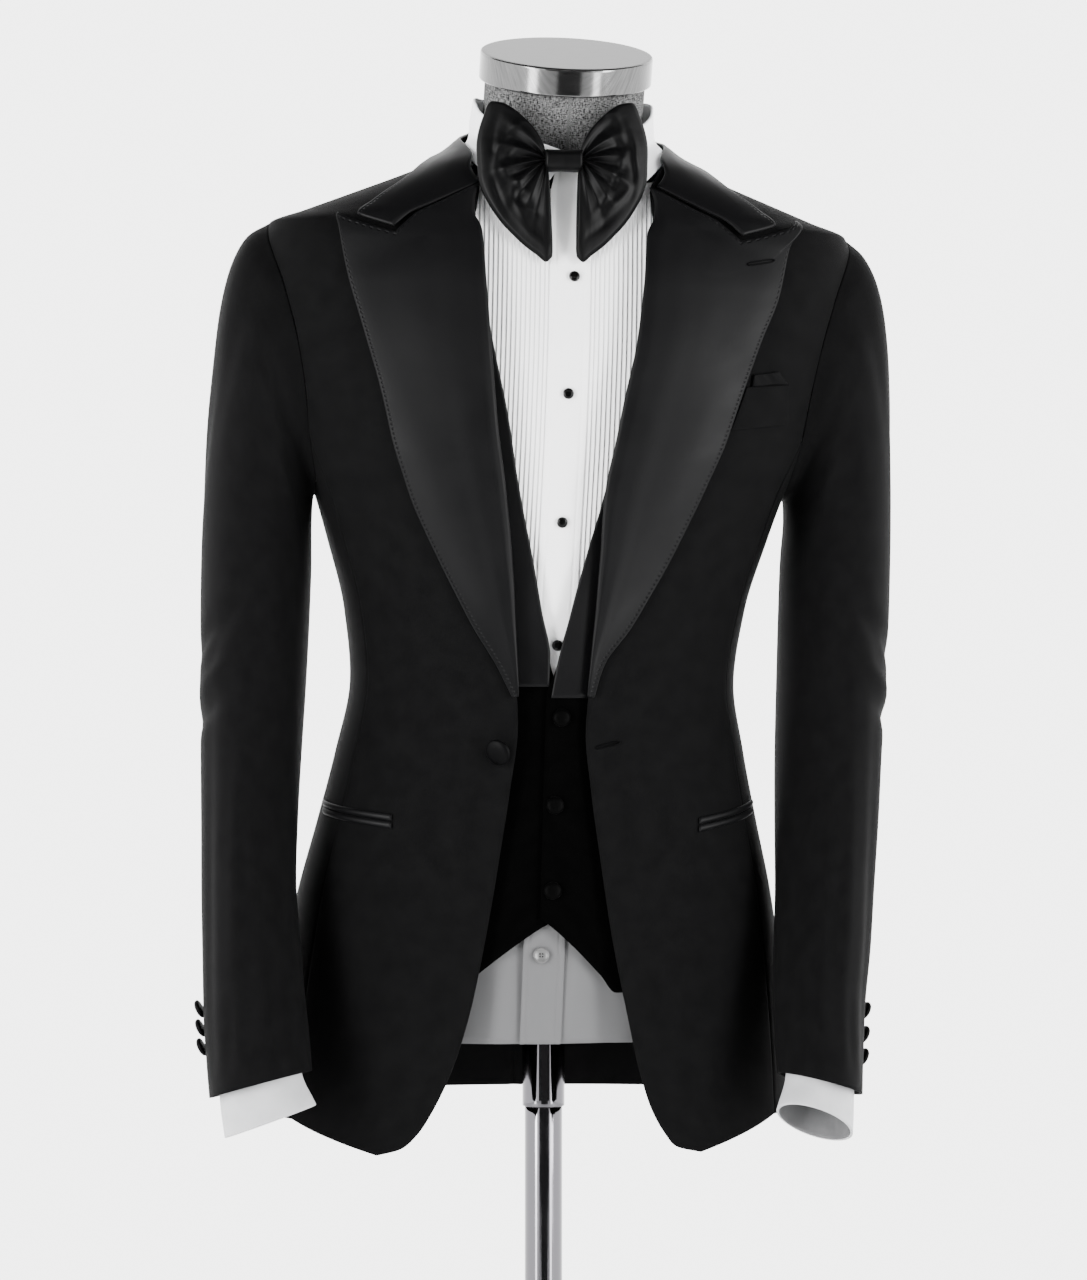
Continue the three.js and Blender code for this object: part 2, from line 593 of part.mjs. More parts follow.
// One ring of a sleeve: an oval about the line from its outer to its inner edge
function armRing(section, shrink, wall, angles) {
  const [ox, oz, ix, iz, depth, half, pitch] = section;
  const centre = [(ox + ix) / 2, depth, (oz + iz) / 2];
  const reach = Math.hypot(ox - ix, oz - iz) / 2;
  const across = unit([ox - ix, 0, oz - iz]);
  const forward = unit([0, -1, pitch]);
  return angles.map((angle) => {
    const c = Math.cos(angle * DEG);
    const s = Math.sin(angle * DEG);
    return add3(add3(centre, across, c * (reach * shrink - wall)), forward,
      s * (half * shrink - wall));
  });
}

// Rings of a whole sleeve, the first lying on the armhole of its own body shape
function armRings(arm, side, shape, hole, offs, shrink, angles, last) {
  const sections = arm.map((row, i) => [...row, ...SLEEVE_SHAPE[i].slice(0, 3)]);
  const plain = sections.slice(0, last + 1).map((s) => armRing(s, shrink, 0, angles));
  const seam = angles.map((angle) => {
    const [turn, height] = armholePoint(hole, angle);
    return shape.at(side * turn, height, offs);
  });
  return plain.map((ring, i) => ring.map((p, j) => add3(p,
    add3(seam[j], plain[0][j], -1), SLEEVE_SHAPE[i][3])));
}

// The inside of a sleeve: each ring drawn in towards its own middle by the wall
function lining(rings, wall) {
  return rings.map((ring) => {
    const middleOf = ring.reduce((sum, p) => add3(sum, p, 1 / ring.length), [0, 0, 0]);
    return ring.map((p) => add3(p, unit(add3(middleOf, p, -1)), wall));
  });
}

SIDES.forEach(({ name, side }) => {
  const arm = name === 'right' ? RIGHT_ARM : LEFT_ARM;
  const last = arm.length - 1;
  const turns = [...ARM_ANGLES.slice(-3).map((angle) => angle - 360),
    ...ARM_ANGLES.slice(0, 2 * ARMHOLE_STEPS + 4)];
  const outer = armRings(arm, side, coat, ARMHOLE, 0, 1, turns, last);
  const inner = lining(outer, JACKET_WALL);
  const ease = { start: SLEEVE_EASE, end: SLEEVE_EASE, head: SEAM_EASE };
  const cut = (rings, from, to) => eased(rings.filter((_, i) => SLEEVE_RINGS.includes(i))
    .map((ring) => ring.slice(from, to)).reverse(), ease);
  const part = (from, to) => skin(cut(outer, from, to), cut(inner, from, to));
  const halves = ARMHOLE_STEPS + 4;
  piece(jacket, `sleeve_${name}_top`, part(0, halves), 'wool');
  piece(jacket, `sleeve_${name}_under`, part(halves - 1, turns.length), 'wool');

  const round = shares(2 * SHIRT_ARM_STEPS + 1).slice(0, -1).map((share) => 360 * share);
  const lightOuter = armRings(arm, side, torso, SHIRT_ARMHOLE, SHIRT_OUTER, SHIRT_ARM_SHARE,
    round, CUFF_FROM).filter((_, i) => SHIRT_ARM_RINGS.includes(i));
  const lightInner = lining(lightOuter, SHIRT_WALL);
  const tubeEase = { foot: SEAM_EASE, head: SEAM_EASE };
  piece(shirt, `shirt_sleeve_${name}`, skin(eased(lightOuter, tubeEase), eased(lightInner, tubeEase),
    true), 'shirting');

  const cuffs = [...arm.slice(CUFF_FROM).map((row, i) => [...row,
    ...SLEEVE_SHAPE[CUFF_FROM + i].slice(0, 3)]), CUFF_END[name]];
  const cuff = (thick) => cuffs.map((section, i) => armRing(section,
    i === cuffs.length - 1 ? 1 : SHIRT_ARM_SHARE + 0.05 * ramp(i, 0, 2), thick, round));
  piece(shirt, `shirt_cuff_${name}`, skin(eased(cuff(0), { foot: SEAM_EASE }),
    eased(cuff(CUFF_WALL), { foot: SEAM_EASE }), true), 'shirting');
});

// Lapels and collar

// A line from one point by way of the notch to another
function notched(from, notch, to, across) {
  return across.map((share) => [0, 1].map((k) => (share <= NOTCH_SHARE
    ? mix(from[k], notch[k], share / NOTCH_SHARE)
    : mix(notch[k], to[k], (share - NOTCH_SHARE) / (1 - NOTCH_SHARE)))));
}

SIDES.forEach(({ name, side, column }) => {
  const [outX, outZ] = column === 1 ? [1, 2] : [3, 4];
  const roll = LAPEL_ROWS.map(([z]) => [coat.angle(frontEdge(z)[column] - ROLL_OVERHANG, z), z]);
  const edge = LAPEL_ROWS.map((row) => [coat.angle(row[outX], row[outZ]), row[outZ]]);
  const across = LAPEL_COLUMNS.map((row) => row[0]);
  const grid = panel(coat, roll, edge, across,
    { head: notched(roll[roll.length - 1], NOTCH, edge[edge.length - 1], across),
      reach: NOTCH_REACH });
  const lift = (i, j) => mix(LAPEL_WALL + LAID_ON, LAPEL_COLUMNS[j][1], Math.min(1, i / 3));
  piece(jacket, `lapel_${name}`, worn(coat, side, grid, lift, (i, j) => lift(i, j) - LAPEL_WALL),
    'satin');
});

const collarAcross = COLLAR_COLUMNS.map((row) => row[0]);
const collarEnd = notched(COLLAR_ROWS[0].slice(0, 2), COLLAR_NOTCH, COLLAR_ROWS[0].slice(2, 4),
  collarAcross);
const collarHalf = COLLAR_ROWS.map(([rollAngle, rollZ, edgeAngle, edgeZ, share]) => (
  collarAcross.map((u, j) => {
    const first = COLLAR_ROWS[0];
    return [
      mix(rollAngle, edgeAngle, u) + share * (collarEnd[j][0] - mix(first[0], first[2], u)),
      mix(rollZ, edgeZ, u) + share * (collarEnd[j][1] - mix(first[1], first[3], u)),
    ];
  })));
const collarGrid = [...collarHalf,
  ...collarHalf.slice(0, -1).reverse().map((row) => row.map(([a, z]) => [360 - a, z]))];
piece(jacket, 'jacket_collar', worn(coat, 1, collarGrid, (i, j) => COLLAR_COLUMNS[j][1],
  (i, j) => COLLAR_COLUMNS[j][1] - COLLAR_WALL), 'satin');

// Things laid on cloth

// A strip or patch with four corners, given by distance from the middle and height
function patch(shape, side, corners, offs, cols, rows) {
  const [a, b, c, d] = corners.map(([x, z]) => [shape.angle(x, z), z]);
  const grid = shares(rows).map((v) => shares(cols).map((u) => (
    [0, 1].map((k) => mix(mix(a[k], b[k], u), mix(d[k], c[k], u), v)))));
  return worn(shape, side, grid, ...offs);
}

function button(group, name, centre, face, radius, profile, stuff) {
  const sizes = profile.map(([share, height]) => [share * radius, height]);
  piece(group, name, turned(centre, face, sizes, BUTTON_SIDES), stuff);
}

// Point and outward direction of a worn surface
function facing(shape, distance, height, off) {
  const side = Math.sign(distance) || 1;
  const angle = side * shape.angle(Math.abs(distance), height);
  const point = shape.at(angle, height, off);
  return [point, unit(add3(shape.at(angle, height, off + 1), point, -1))];
}

SIDES.forEach(({ name, side }) => {
  const [inX, inZ, outX, outZ] = POCKETS[name];
  [['upper', JET_PITCH], ['lower', -JET_PITCH]].forEach(([place, shift]) => {
    const corners = [[inX, inZ + shift - JET_HALF], [outX, outZ + shift - JET_HALF],
      [outX, outZ + shift + JET_HALF], [inX, inZ + shift + JET_HALF]];
    piece(jacket, `pocket_jet_${name}_${place}`, patch(coat, side, corners, JET_OFFS, 8, 2), 'satin');
  });
});
piece(jacket, 'breast_welt', patch(coat, 1, WELT, WELT_OFFS, 5, 3), 'wool');
piece(jacket, 'pocket_square', patch(coat, 1, KERCHIEF, [WELT_OFFS[0] - 0.6, WELT_OFFS[1]], 4, 2), 'satin');

const [buttonSpot] = facing(coat, -JACKET_BUTTON.at[0], JACKET_BUTTON.at[1], JACKET_BUTTON.off);
button(jacket, 'jacket_button', buttonSpot, JACKET_BUTTON.face, JACKET_BUTTON.radius, DOME, 'satin');

// Sleeve buttons stand at the back edge of the sleeve and hang a little downwards
SIDES.forEach(({ name, side }) => {
  const arm = name === 'right' ? RIGHT_ARM : LEFT_ARM;
  CUFF_BUTTON_PLACES[name].forEach((place, i) => {
    const low = Math.floor(place);
    const section = (k) => armRing([...arm[k], ...SLEEVE_SHAPE[k].slice(0, 3)], 1,
      -CUFF_BUTTONS.off, [CUFF_BUTTONS.turn])[0];
    const spot = mix3(section(low), section(low + 1), place - low);
    const face = [side * Math.cos(CUFF_BUTTONS.turn * DEG),
      -Math.sin(CUFF_BUTTONS.turn * DEG), -CUFF_BUTTONS.fall];
    button(jacket, `cuff_button_${name}_${i + 1}`, spot, face, CUFF_BUTTONS.radius, DOME, 'satin');
  });
});

// Waistcoat

const waistcoatEdge = smoothTable(WAISTCOAT_EDGE);

function waistcoatOff(angle, height, name) {
  const base = mix(8.5, 7.6, ramp(height, 1490, 1530));
  return base + (name === 'left' ? WAISTCOAT_LIFT * (1 - ramp(angle, 6, 12)) : 0);
}

const waistcoatSeam = shares(WAISTCOAT_SEAM_ROWS).map((share) => (
  [90, mix(WAISTCOAT_SIDE_HEM, WAISTCOAT_ARMHOLE.height - WAISTCOAT_ARMHOLE.radius, share)]));

SIDES.forEach(({ name, side }) => {
  const closure = WAISTCOAT_CLOSURE.map((z) => [torso.angle(WAISTCOAT_LAP[name], z), z]);
  const neckline = WAISTCOAT_EDGE.map(([z, x]) => [torso.angle(x, z), z]);
  const arm = armholeRun(WAISTCOAT_ARMHOLE, 180, 0, WAISTCOAT_ARM_STEPS).slice(1);
  const [pointX, pointZ] = WAISTCOAT_POINT[name];
  const point = [torso.angle(pointX, pointZ), pointZ];
  const hem = WAISTCOAT_SHARES.map((_, j) => {
    const to = WAISTCOAT_POINT_COLUMN;
    if (j <= to) return [0, 1].map((k) => mix(closure[0][k], point[k], j / to));
    const share = (WAISTCOAT_SHARES[j] - WAISTCOAT_SHARES[to]) / (1 - WAISTCOAT_SHARES[to]);
    return [0, 1].map((k) => mix(point[k], waistcoatSeam[0][k], share));
  });
  const grid = panel(torso, [...closure, ...neckline, [90, WAISTCOAT_NECK]],
    [...waistcoatSeam, ...arm], WAISTCOAT_SHARES, { foot: hem, reach: 4 });
  const off = (i, j, angle, height) => waistcoatOff(angle, height, name);
  piece(waistcoat, `waistcoat_front_${name}`, worn(torso, side, grid, off,
    (...at) => off(...at) - WAISTCOAT_WALL, { end: SEAM_EASE, head: SEAM_EASE }), 'dark');

  const [endZ, endX] = BAND_END[name];
  const band = [[endZ, endX], ...BAND_HEIGHTS.map((z) => [z,
    waistcoatEdge(z)[1] - BAND_OVERHANG])];
  const strip = band.map(([z, x]) => shares(4).map((share) => (
    [torso.angle(x + BAND_WIDTH * share, z), z])));
  const over = (i, j, angle, height) => waistcoatOff(angle, height, name) + BAND_LIFT;
  piece(waistcoat, `waistcoat_lapel_${name}`, worn(torso, side, strip,
    (...at) => over(...at) + BAND_WALL, over), 'satin');
});

const mirrored = (line) => line.map(([angle, height]) => [360 - angle, height]);
const waistcoatSpan = [...waistcoatSeam,
  ...armholeRun(WAISTCOAT_ARMHOLE, 180, 360, WAISTCOAT_ARM_STEPS).slice(1)];
const waistcoatBack = panel(torso, waistcoatSpan, mirrored(waistcoatSpan), shares(11), {
  head: [...WAISTCOAT_NAPE, ...mirrored(WAISTCOAT_NAPE.slice(0, -1)).reverse()], reach: 6,
});
piece(waistcoat, 'waistcoat_back', worn(torso, 1, waistcoatBack,
  (i, j, angle, height) => waistcoatOff(90, height, '') + WAISTCOAT_BACK_EASE,
  (i, j, angle, height) => waistcoatOff(90, height, '') + WAISTCOAT_BACK_EASE - WAISTCOAT_WALL,
  { start: SEAM_EASE, end: SEAM_EASE, head: SEAM_EASE }), 'dark');
WAISTCOAT_BUTTONS.at.forEach(([x, z], i) => {
  const [spot, face] = facing(torso, x, z, waistcoatOff(0, z, 'left') + 0.3);
  button(waistcoat, `waistcoat_button_${i + 1}`, spot, face, WAISTCOAT_BUTTONS.radius, DOME, 'satin');
});

// Shirt

const middle = (z) => PLACKET_MIDDLE + PLACKET_DRIFT * (z - 1400);
const shirtSeam = SHIRT_SEAM.map((z) => [90, z]);

// The shirt lies closer to the form under its bib and round the neck
function shirtOff(turn, height) {
  const neck = ramp(height, ...SHIRT_NECK_ZONE) * mix(1, SHIRT_NAPE_SHARE, ramp(turn, 80, 100));
  const bib = (1 - ramp(turn, ...SHIRT_BIB_ZONE)) * ramp(height, ...SHIRT_BIB_FOOT);
  const sunk = Math.max(neck, bib);
  return SHIRT_OUTER - SHIRT_SINK * sunk;
}
const shirtFaces = [(i, j, ...at) => shirtOff(...at), (i, j, ...at) => shirtOff(...at) - SHIRT_WALL];

SIDES.forEach(({ name, side }) => {
  const centre = [...SHIRT_SEAM, ...SHIRT_MIDDLE].map((z) => (
    [torso.angle(side * middle(z) + SEAM_EASE, z), z]));
  const arm = armholeRun(SHIRT_ARMHOLE, 180, 0, SHIRT_ARM_STEPS).slice(1);
  const front = panel(torso, [...centre, ...SHIRT_NECKLINE], [...shirtSeam, ...arm], shares(7));
  piece(shirt, `shirt_front_${name}`, worn(torso, side, front, ...shirtFaces,
    { end: SEAM_EASE, head: SEAM_EASE }), 'shirting');

  const folds = shares(TUCKS + 1).flatMap((share) => {
    const x = PLACKET_HALF + 0.4 + share * TUCKS * TUCK_PITCH;
    return [[x, 0], [x + TUCK_FACE, TUCK_RISE]];
  }).slice(0, -1);
  const bib = BIB_HEIGHTS.map((z) => folds.map(([x]) => (
    [torso.angle(x + side * middle(z), z), z])));
  piece(shirt, `shirt_bib_${name}`, worn(torso, side, bib,
    (i, j) => BIB_OFFS[0] + folds[j][1], BIB_OFFS[1]), 'shirting');
});

const shirtSpan = [...shirtSeam,
  ...armholeRun(SHIRT_ARMHOLE, 180, 360, SHIRT_ARM_STEPS).slice(1)];
piece(shirt, 'shirt_back', worn(torso, 1, panel(torso, shirtSpan, mirrored(shirtSpan), shares(11), {
  head: [...SHIRT_NAPE, ...mirrored(SHIRT_NAPE.slice(0, -1)).reverse()], reach: 6,
}), ...shirtFaces, { start: SEAM_EASE, end: SEAM_EASE, head: SEAM_EASE }), 'shirting');

const placketHalf = (z) => mix(PLACKET_HALF, PLACKET_TOP_HALF, Math.max(0, (z - 1512) / 18));
const placket = [...SHIRT_SEAM, ...PLACKET_CHEST].map((z) => shares(4).map((share) => (
  [torso.angle(mix(-placketHalf(z), placketHalf(z), share) + middle(z), z), z])));
piece(shirt, 'shirt_placket', worn(torso, 1, placket, ...PLACKET_OFFS), 'shirting');
STUDS.at.forEach(([x, z], i) => {
  const [spot, face] = facing(torso, x, z, PLACKET_OFFS[0] + STUD_GAP);
  button(shirt, `shirt_stud_${i + 1}`, spot, face, STUDS.radius, STUD_FACE, 'onyx');
});
const [shirtButtonSpot, shirtButtonFace] = facing(torso, ...SHIRT_BUTTON.at,
  PLACKET_OFFS[0] + STUD_GAP);
button(shirt, 'shirt_button', shirtButtonSpot, shirtButtonFace, SHIRT_BUTTON.radius, STUD_FACE, 'shirting');

// Neck, shirt collar and bow

function neckRaw(angle, height, radius) {
  const forward = [0, -Math.cos(NECK_TILT), -Math.sin(NECK_TILT)];
  const up = [0, -Math.sin(NECK_TILT), Math.cos(NECK_TILT)];
  const foot = add3(NECK_FOOT, [1, 0, 0], radius * Math.sin(angle * DEG));
  return add3(add3(foot, forward, radius * Math.cos(angle * DEG)), up, height);
}

function neckPoint(angle, height, radius) {
  return lean(neckRaw(angle, height, radius));
}

const leafRow = ([topAngle, topHeight, edgeAngle, edgeHeight, onChest], inward, side) => {
  const [top, middleRadius, edge] = LEAF_RADII.map((radius) => radius - inward);
  const first = neckPoint(side * topAngle, topHeight, top);
  const second = neckPoint(side * mix(topAngle, edgeAngle, 0.3), topHeight * 0.6, middleRadius);
  const last = onChest ? torso.at(side * edgeAngle, edgeHeight, LEAF_OFF - inward * 0.6)
    : neckPoint(side * edgeAngle, edgeHeight, edge);
  return [first, second, mix3(second, last, 0.5), last];
};
const leafGrid = (inward) => [
  ...LEAF_ROWS.map((row) => leafRow(row, inward, 1)),
  ...LEAF_ROWS.slice(0, -1).reverse().map((row) => leafRow(row, inward, -1)),
];
piece(shirt, 'shirt_collar', skin(leafGrid(0), leafGrid(LEAF_WALL)), 'shirting');

const NECK_SIDES = 20;

// A closed ring of cloth round the neck
function neckRing([outside, inside, frontLow, frontHigh, backLow, backHigh]) {
  const ring = (radius) => [[frontLow, backLow], [frontHigh, backHigh]].map(([front, back]) => (
    shares(NECK_SIDES + 1).slice(0, -1).map((share) => {
      const behind = (1 - Math.cos(share * 2 * Math.PI)) / 2;
      return neckPoint(360 * share, mix(front, back, behind), radius);
    })));
  return skin(ring(outside), ring(inside), true);
}

piece(shirt, 'shirt_collar_stand', neckRing(STAND_RING), 'shirting');
piece(bow, 'bow_band', neckRing(BAND_RING), 'satin');

const wingReach = smoothTable(WING_OUTLINE);
SIDES.forEach(({ name, side }) => {
  const hub = [KNOT.x + side * (KNOT.half[0] + 0.4), KNOT.z];
  const face = (way) => WING_ROWS.map(([reach, half, swing]) => WING_OUTLINE.map(([angle], j) => {
    const share = j / (WING_OUTLINE.length - 1);
    const turn = (angle - swing * (1 - share) ** 1.5) * DEG;
    const far = reach * wingReach(angle)[1];
    const x = hub[0] - side * far * Math.cos(turn);
    const z = hub[1] + far * Math.sin(turn);
    const fold = WING_FOLD_DEPTH * Math.sin(share * WING_FOLDS * 2 * Math.PI) * reach * (1 - reach) * 4;
    const depth = WING_DEPTH - WING_LEAN * (KNOT.z - z) + WING_SWEEP * Math.abs(x - hub[0]);
    return [x, depth - way * (half + (way > 0 ? fold : 0)), z];
  }));
  piece(bow, `bow_wing_${name}`, skin(face(1), face(-1)), 'satin');
});

const KNOT_SIDES = 12;
const knotRings = [-1, -0.94, -0.4, 0.4, 0.94, 1].map((share) => {
  const swell = Math.abs(share) > 0.97 ? 0.82 : 1 - 0.06 * (1 - Math.abs(share));
  return Array.from({ length: KNOT_SIDES }, (_, j) => {
    const turn = (2 * Math.PI * j) / KNOT_SIDES;
    const c = Math.cos(turn);
    const s = Math.sin(turn);
    return [KNOT.x + share * KNOT.half[0],
      KNOT.y + KNOT.half[1] * swell * Math.sign(c) * Math.abs(c) ** 0.7,
      KNOT.z + KNOT.half[2] * swell * Math.sign(s) * Math.abs(s) ** 0.7];
  });
});
piece(bow, 'bow_knot', stack(knotRings), 'satin');

// Torso, cap and stand

const AROUND = 24;
const FORM_CLEAR = 9;
const TORSO_RINGS = [893, 984, 1091, 1145, 1199, 1290, 1382, 1440, 1475, 1490];
const turns = Array.from({ length: AROUND }, (_, j) => (360 * j) / AROUND);
const torsoRings = [
  ...TORSO_RINGS.map((z) => turns.map((angle) => torso.at(angle, z, -FORM_CLEAR))),
  ...NECK_BLEND.map(([z, share, along]) => turns.map((angle) => mix3(
    torso.at(angle, z, -FORM_CLEAR),
    neckPoint(angle, along, NECK_RADIUS), share))),
  ...[20, 45, NECK_HEIGHT].map((along) => turns.map((angle) => (
    neckPoint(angle, along, NECK_RADIUS)))),
];
piece(dressForm, 'form_torso', stack(torsoRings), 'linen');

const capProfile = [[CAP_RADIUS - 1, 0], [CAP_RADIUS, 1], [CAP_RADIUS, CAP_HEIGHT - 1.5],
  [CAP_RADIUS - 1.5, CAP_HEIGHT]];
piece(dressForm, 'neck_cap', stack(capProfile.map(([radius, height]) => turns.map((angle) => (
  neckPoint(angle, NECK_HEIGHT + 0.3 + height, radius))))), 'steel');

piece(dressForm, 'stand_base', turned([0, 0, 0], [0, 0, 1], PLATE, 32), 'chrome');
piece(dressForm, 'stand_pole', turned([0, 0, 0], [0, 0, 1],
  [[POLE.radius, POLE.from], [POLE.radius, POLE.to]], 24), 'chrome');
piece(dressForm, 'stand_sleeve_tube', turned([0, 0, 0], [0, 0, 1],
  [[TUBE.radius, TUBE.from], [TUBE.radius, TUBE.to]], 24), 'chrome');

export default object;
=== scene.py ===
# %% [markdown]
# A black evening suit on a limbless dress form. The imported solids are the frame: every piece made
# here lies on the solid of the same name and is finer than it, with its folds, seams and cloth.
# Lengths are worked out in millimetres, as a tailor gives them, and turned into metres when a
# mesh is made.

import bpy
import numpy as np
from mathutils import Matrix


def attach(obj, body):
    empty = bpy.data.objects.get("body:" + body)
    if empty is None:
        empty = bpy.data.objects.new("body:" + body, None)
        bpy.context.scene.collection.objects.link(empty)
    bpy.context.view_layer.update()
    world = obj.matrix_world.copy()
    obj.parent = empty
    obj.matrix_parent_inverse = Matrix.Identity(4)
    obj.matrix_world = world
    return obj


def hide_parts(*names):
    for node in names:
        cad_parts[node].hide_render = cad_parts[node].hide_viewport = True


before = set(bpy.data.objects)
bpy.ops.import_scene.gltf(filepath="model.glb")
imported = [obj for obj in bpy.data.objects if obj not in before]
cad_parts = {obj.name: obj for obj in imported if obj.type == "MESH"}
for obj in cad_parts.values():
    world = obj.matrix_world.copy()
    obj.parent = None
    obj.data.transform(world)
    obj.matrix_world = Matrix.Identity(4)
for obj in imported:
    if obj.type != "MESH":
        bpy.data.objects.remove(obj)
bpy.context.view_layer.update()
MM = 0.001
SIDES = {"right": -1, "left": 1}

# %% [markdown]
# The camera stands level, a little to the wearer's right of the middle, at chest height. A long
# lens far away keeps the suit free of distortion, as a studio photographer would.

# %% Camera
eye = bpy.data.cameras.new("camera")
eye.lens = 127.97
eye.sensor_width = 36
eye.sensor_fit = "AUTO"
eye.clip_end = 60
camera = bpy.data.objects.new("camera", eye)
bpy.context.scene.collection.objects.link(camera)
camera.location = (-0.3476, -3.4827, 1.176)
camera.rotation_euler = (np.pi / 2, 0, np.radians(-5.7))
bpy.context.scene.camera = camera

# %% [markdown]
# Cloth on a body is easiest to describe by level sections: at each height a half-width, a depth
# in front, a depth behind and a squareness. A smooth reading between the rows gives the body at
# any height, and an angle round it gives a point. A panel of cloth is then a patch of angles and
# heights, moved outwards by its place in the layers.

# %% Reading tables smoothly
def smooth(rows, key):
    """Reads a table at any key: cubic pieces whose slope at each row is the harmonic mean of the
    slopes on its two sides, and nought at a turning point, so nothing overshoots."""
    rows = np.asarray(rows, float)
    x, y = rows[:, 0], rows[:, 1:]
    step = np.diff(x)
    slope = np.diff(y, axis=0) / step[:, None]
    tangent = np.zeros_like(y)
    tangent[0], tangent[-1] = slope[0], slope[-1]
    both = slope[:-1] * slope[1:]
    total = slope[:-1] + slope[1:]
    tangent[1:-1] = np.where(both > 0, 2 * both / np.where(both > 0, total, 1), 0)
    key = np.clip(np.asarray(key, float), x[0], x[-1])
    i = np.clip(np.searchsorted(x, key, side="right") - 1, 0, len(x) - 2)
    s = ((key - x[i]) / step[i])[..., None]
    h = step[i][..., None]
    return (y[i] * (2 * s**3 - 3 * s**2 + 1) + y[i + 1] * (3 * s**2 - 2 * s**3)
            + tangent[i] * h * (s**3 - 2 * s**2 + s) + tangent[i + 1] * h * (s**3 - s**2))


def ramp(value, low, high):
    """0 below low, 1 above high, and a soft S between."""
    s = np.clip((np.asarray(value, float) - low) / (high - low), 0, 1)
    return s * s * (3 - 2 * s)


def straight(value, low, high):
    """0 below low, 1 above high, and a straight line between."""
    return np.clip((np.asarray(value, float) - low) / (high - low), 0, 1)


def unit(v):
    """Vectors of length one."""
    return v / np.maximum(np.linalg.norm(v, axis=-1, keepdims=True), 1e-9)


def finer(line, count):
    """A line of rows read again at more rows, smoothly by row number."""
    line = np.asarray(line, float)
    rows = np.c_[np.arange(len(line)), line]
    return smooth(rows, np.linspace(0, len(line) - 1, count))


def lean(p):
    """The worn torso leans: x grows with height over the pole's top, and the shoulder line drops
    towards the left side."""
    fade = straight(p[..., 2], 1100, 1500)
    return np.stack([p[..., 0] + 0.036 * (p[..., 2] - 1180), p[..., 1],
                     p[..., 2] - 0.02 * p[..., 0] * fade], -1)


# %% [markdown]
# Two such bodies are needed: the jacket as it hangs, and the torso that the waistcoat and shirt
# lie on. The sizes agree with the solids. A higher squareness gives flatter sides, as the chest
# has; near the neck it falls to a plain oval.

# %% Level sections
COAT_SECTIONS = [
    [790, 208, 117, 112, 2.2], [860, 201, 114, 110, 2.2], [920, 193, 110, 107, 2.2],
    [984, 182, 104, 100, 2.2], [1038, 169, 99, 94, 2.25], [1091, 157, 96, 89, 2.3],
    [1145, 147.7, 95, 86, 2.3], [1199, 154, 98, 89, 2.35], [1253, 169, 106, 97, 2.45],
    [1290, 181, 112, 103, 2.55], [1330, 197, 116, 108, 2.6], [1382, 210, 114, 111, 2.6],
    [1440, 222, 103, 106, 2.55], [1475, 227, 92, 99, 2.45], [1490, 222, 86, 96, 2.4],
    [1500, 197, 82, 94, 2.4], [1515, 159, 76, 91, 2.35], [1530, 121.5, 69, 88, 2.3],
    [1545, 88, 62, 84.5, 2.2], [1555, 78, 58, 82, 2.1], [1566, 73, 56, 79, 2.05],
    [1577, 71, 54, 75, 2], [1592, 70, 52, 72, 2],
]
TORSO_SECTIONS = [
    [870, 156, 91, 92, 2.2], [893, 158, 92, 93, 2.2], [930, 160, 92, 93, 2.2],
    [984, 156, 88, 88, 2.2], [1038, 147, 83, 81, 2.25], [1091, 138, 79, 74, 2.3],
    [1145, 131, 78, 70, 2.3], [1199, 136, 81, 73, 2.35], [1253, 149, 87, 81, 2.45],
    [1290, 160, 93, 86, 2.5], [1330, 172, 97, 90, 2.5], [1382, 182, 96, 92, 2.5],
    [1440, 184, 86, 88, 2.45], [1475, 178, 76, 82, 2.4], [1490, 166, 72, 79, 2.35],
    [1500, 152, 69, 77, 2.35], [1515, 126, 64, 76, 2.3], [1530, 98, 60, 74, 2.2],
    [1545, 78, 56, 71, 2.1],
]


class Body:
    """Points round a set of level sections."""

    def __init__(self, sections):
        self.rows = np.asarray(sections, float)
        steps = np.hypot(np.diff(self.rows[:, 0]), np.diff(self.rows[:, 1]))
        self.runs = np.r_[0, np.cumsum(steps)]

    def run(self, height):
        """Way along the outline from the lowest section, by height."""
        return np.interp(height, self.rows[:, 0], self.runs)

    def height(self, run):
        """Height, by way along the outline."""
        return np.interp(run, self.runs, self.rows[:, 0])

    def angle(self, distance, height):
        """Angle in degrees of a point of the front at a distance from the middle: the arcsine of
        the distance's share of the half-width, raised to half the squareness."""
        size = smooth(self.rows, height)
        share = np.minimum(1, np.abs(distance) / size[..., 0]) ** (size[..., 3] / 2)
        return np.sign(distance) * np.degrees(np.arcsin(share))

    def ring(self, angle, height):
        """A squared ellipse: side times sine and depth times cosine, each to the power of two
        over the squareness."""
        size = smooth(self.rows, height)
        s, c = np.sin(angle), np.cos(angle)
        depth = np.where(c > 0, size[..., 1], size[..., 2])
        power = 2 / size[..., 3]
        return np.stack([size[..., 0] * np.sign(s) * np.abs(s) ** power,
                         -depth * np.sign(c) * np.abs(c) ** power,
                         np.broadcast_to(height, np.shape(angle))], -1)

    def at(self, angle, height, off=0):
        """The ring's point moved out along the surface's normal, then leaned."""
        angle, height = np.broadcast_arrays(np.radians(angle), np.asarray(height, float))
        across = self.ring(angle + 0.02, height) - self.ring(angle - 0.02, height)
        up = self.ring(angle, height + 1.5) - self.ring(angle, height - 1.5)
        normal = unit(np.cross(across, up))
        return lean(self.ring(angle, height) + normal * np.asarray(off, float)[..., None])


coat, torso = Body(COAT_SECTIONS), Body(TORSO_SECTIONS)
print("jacket outline", round(coat.runs[-1]), "mm, torso outline", round(torso.runs[-1]), "mm")

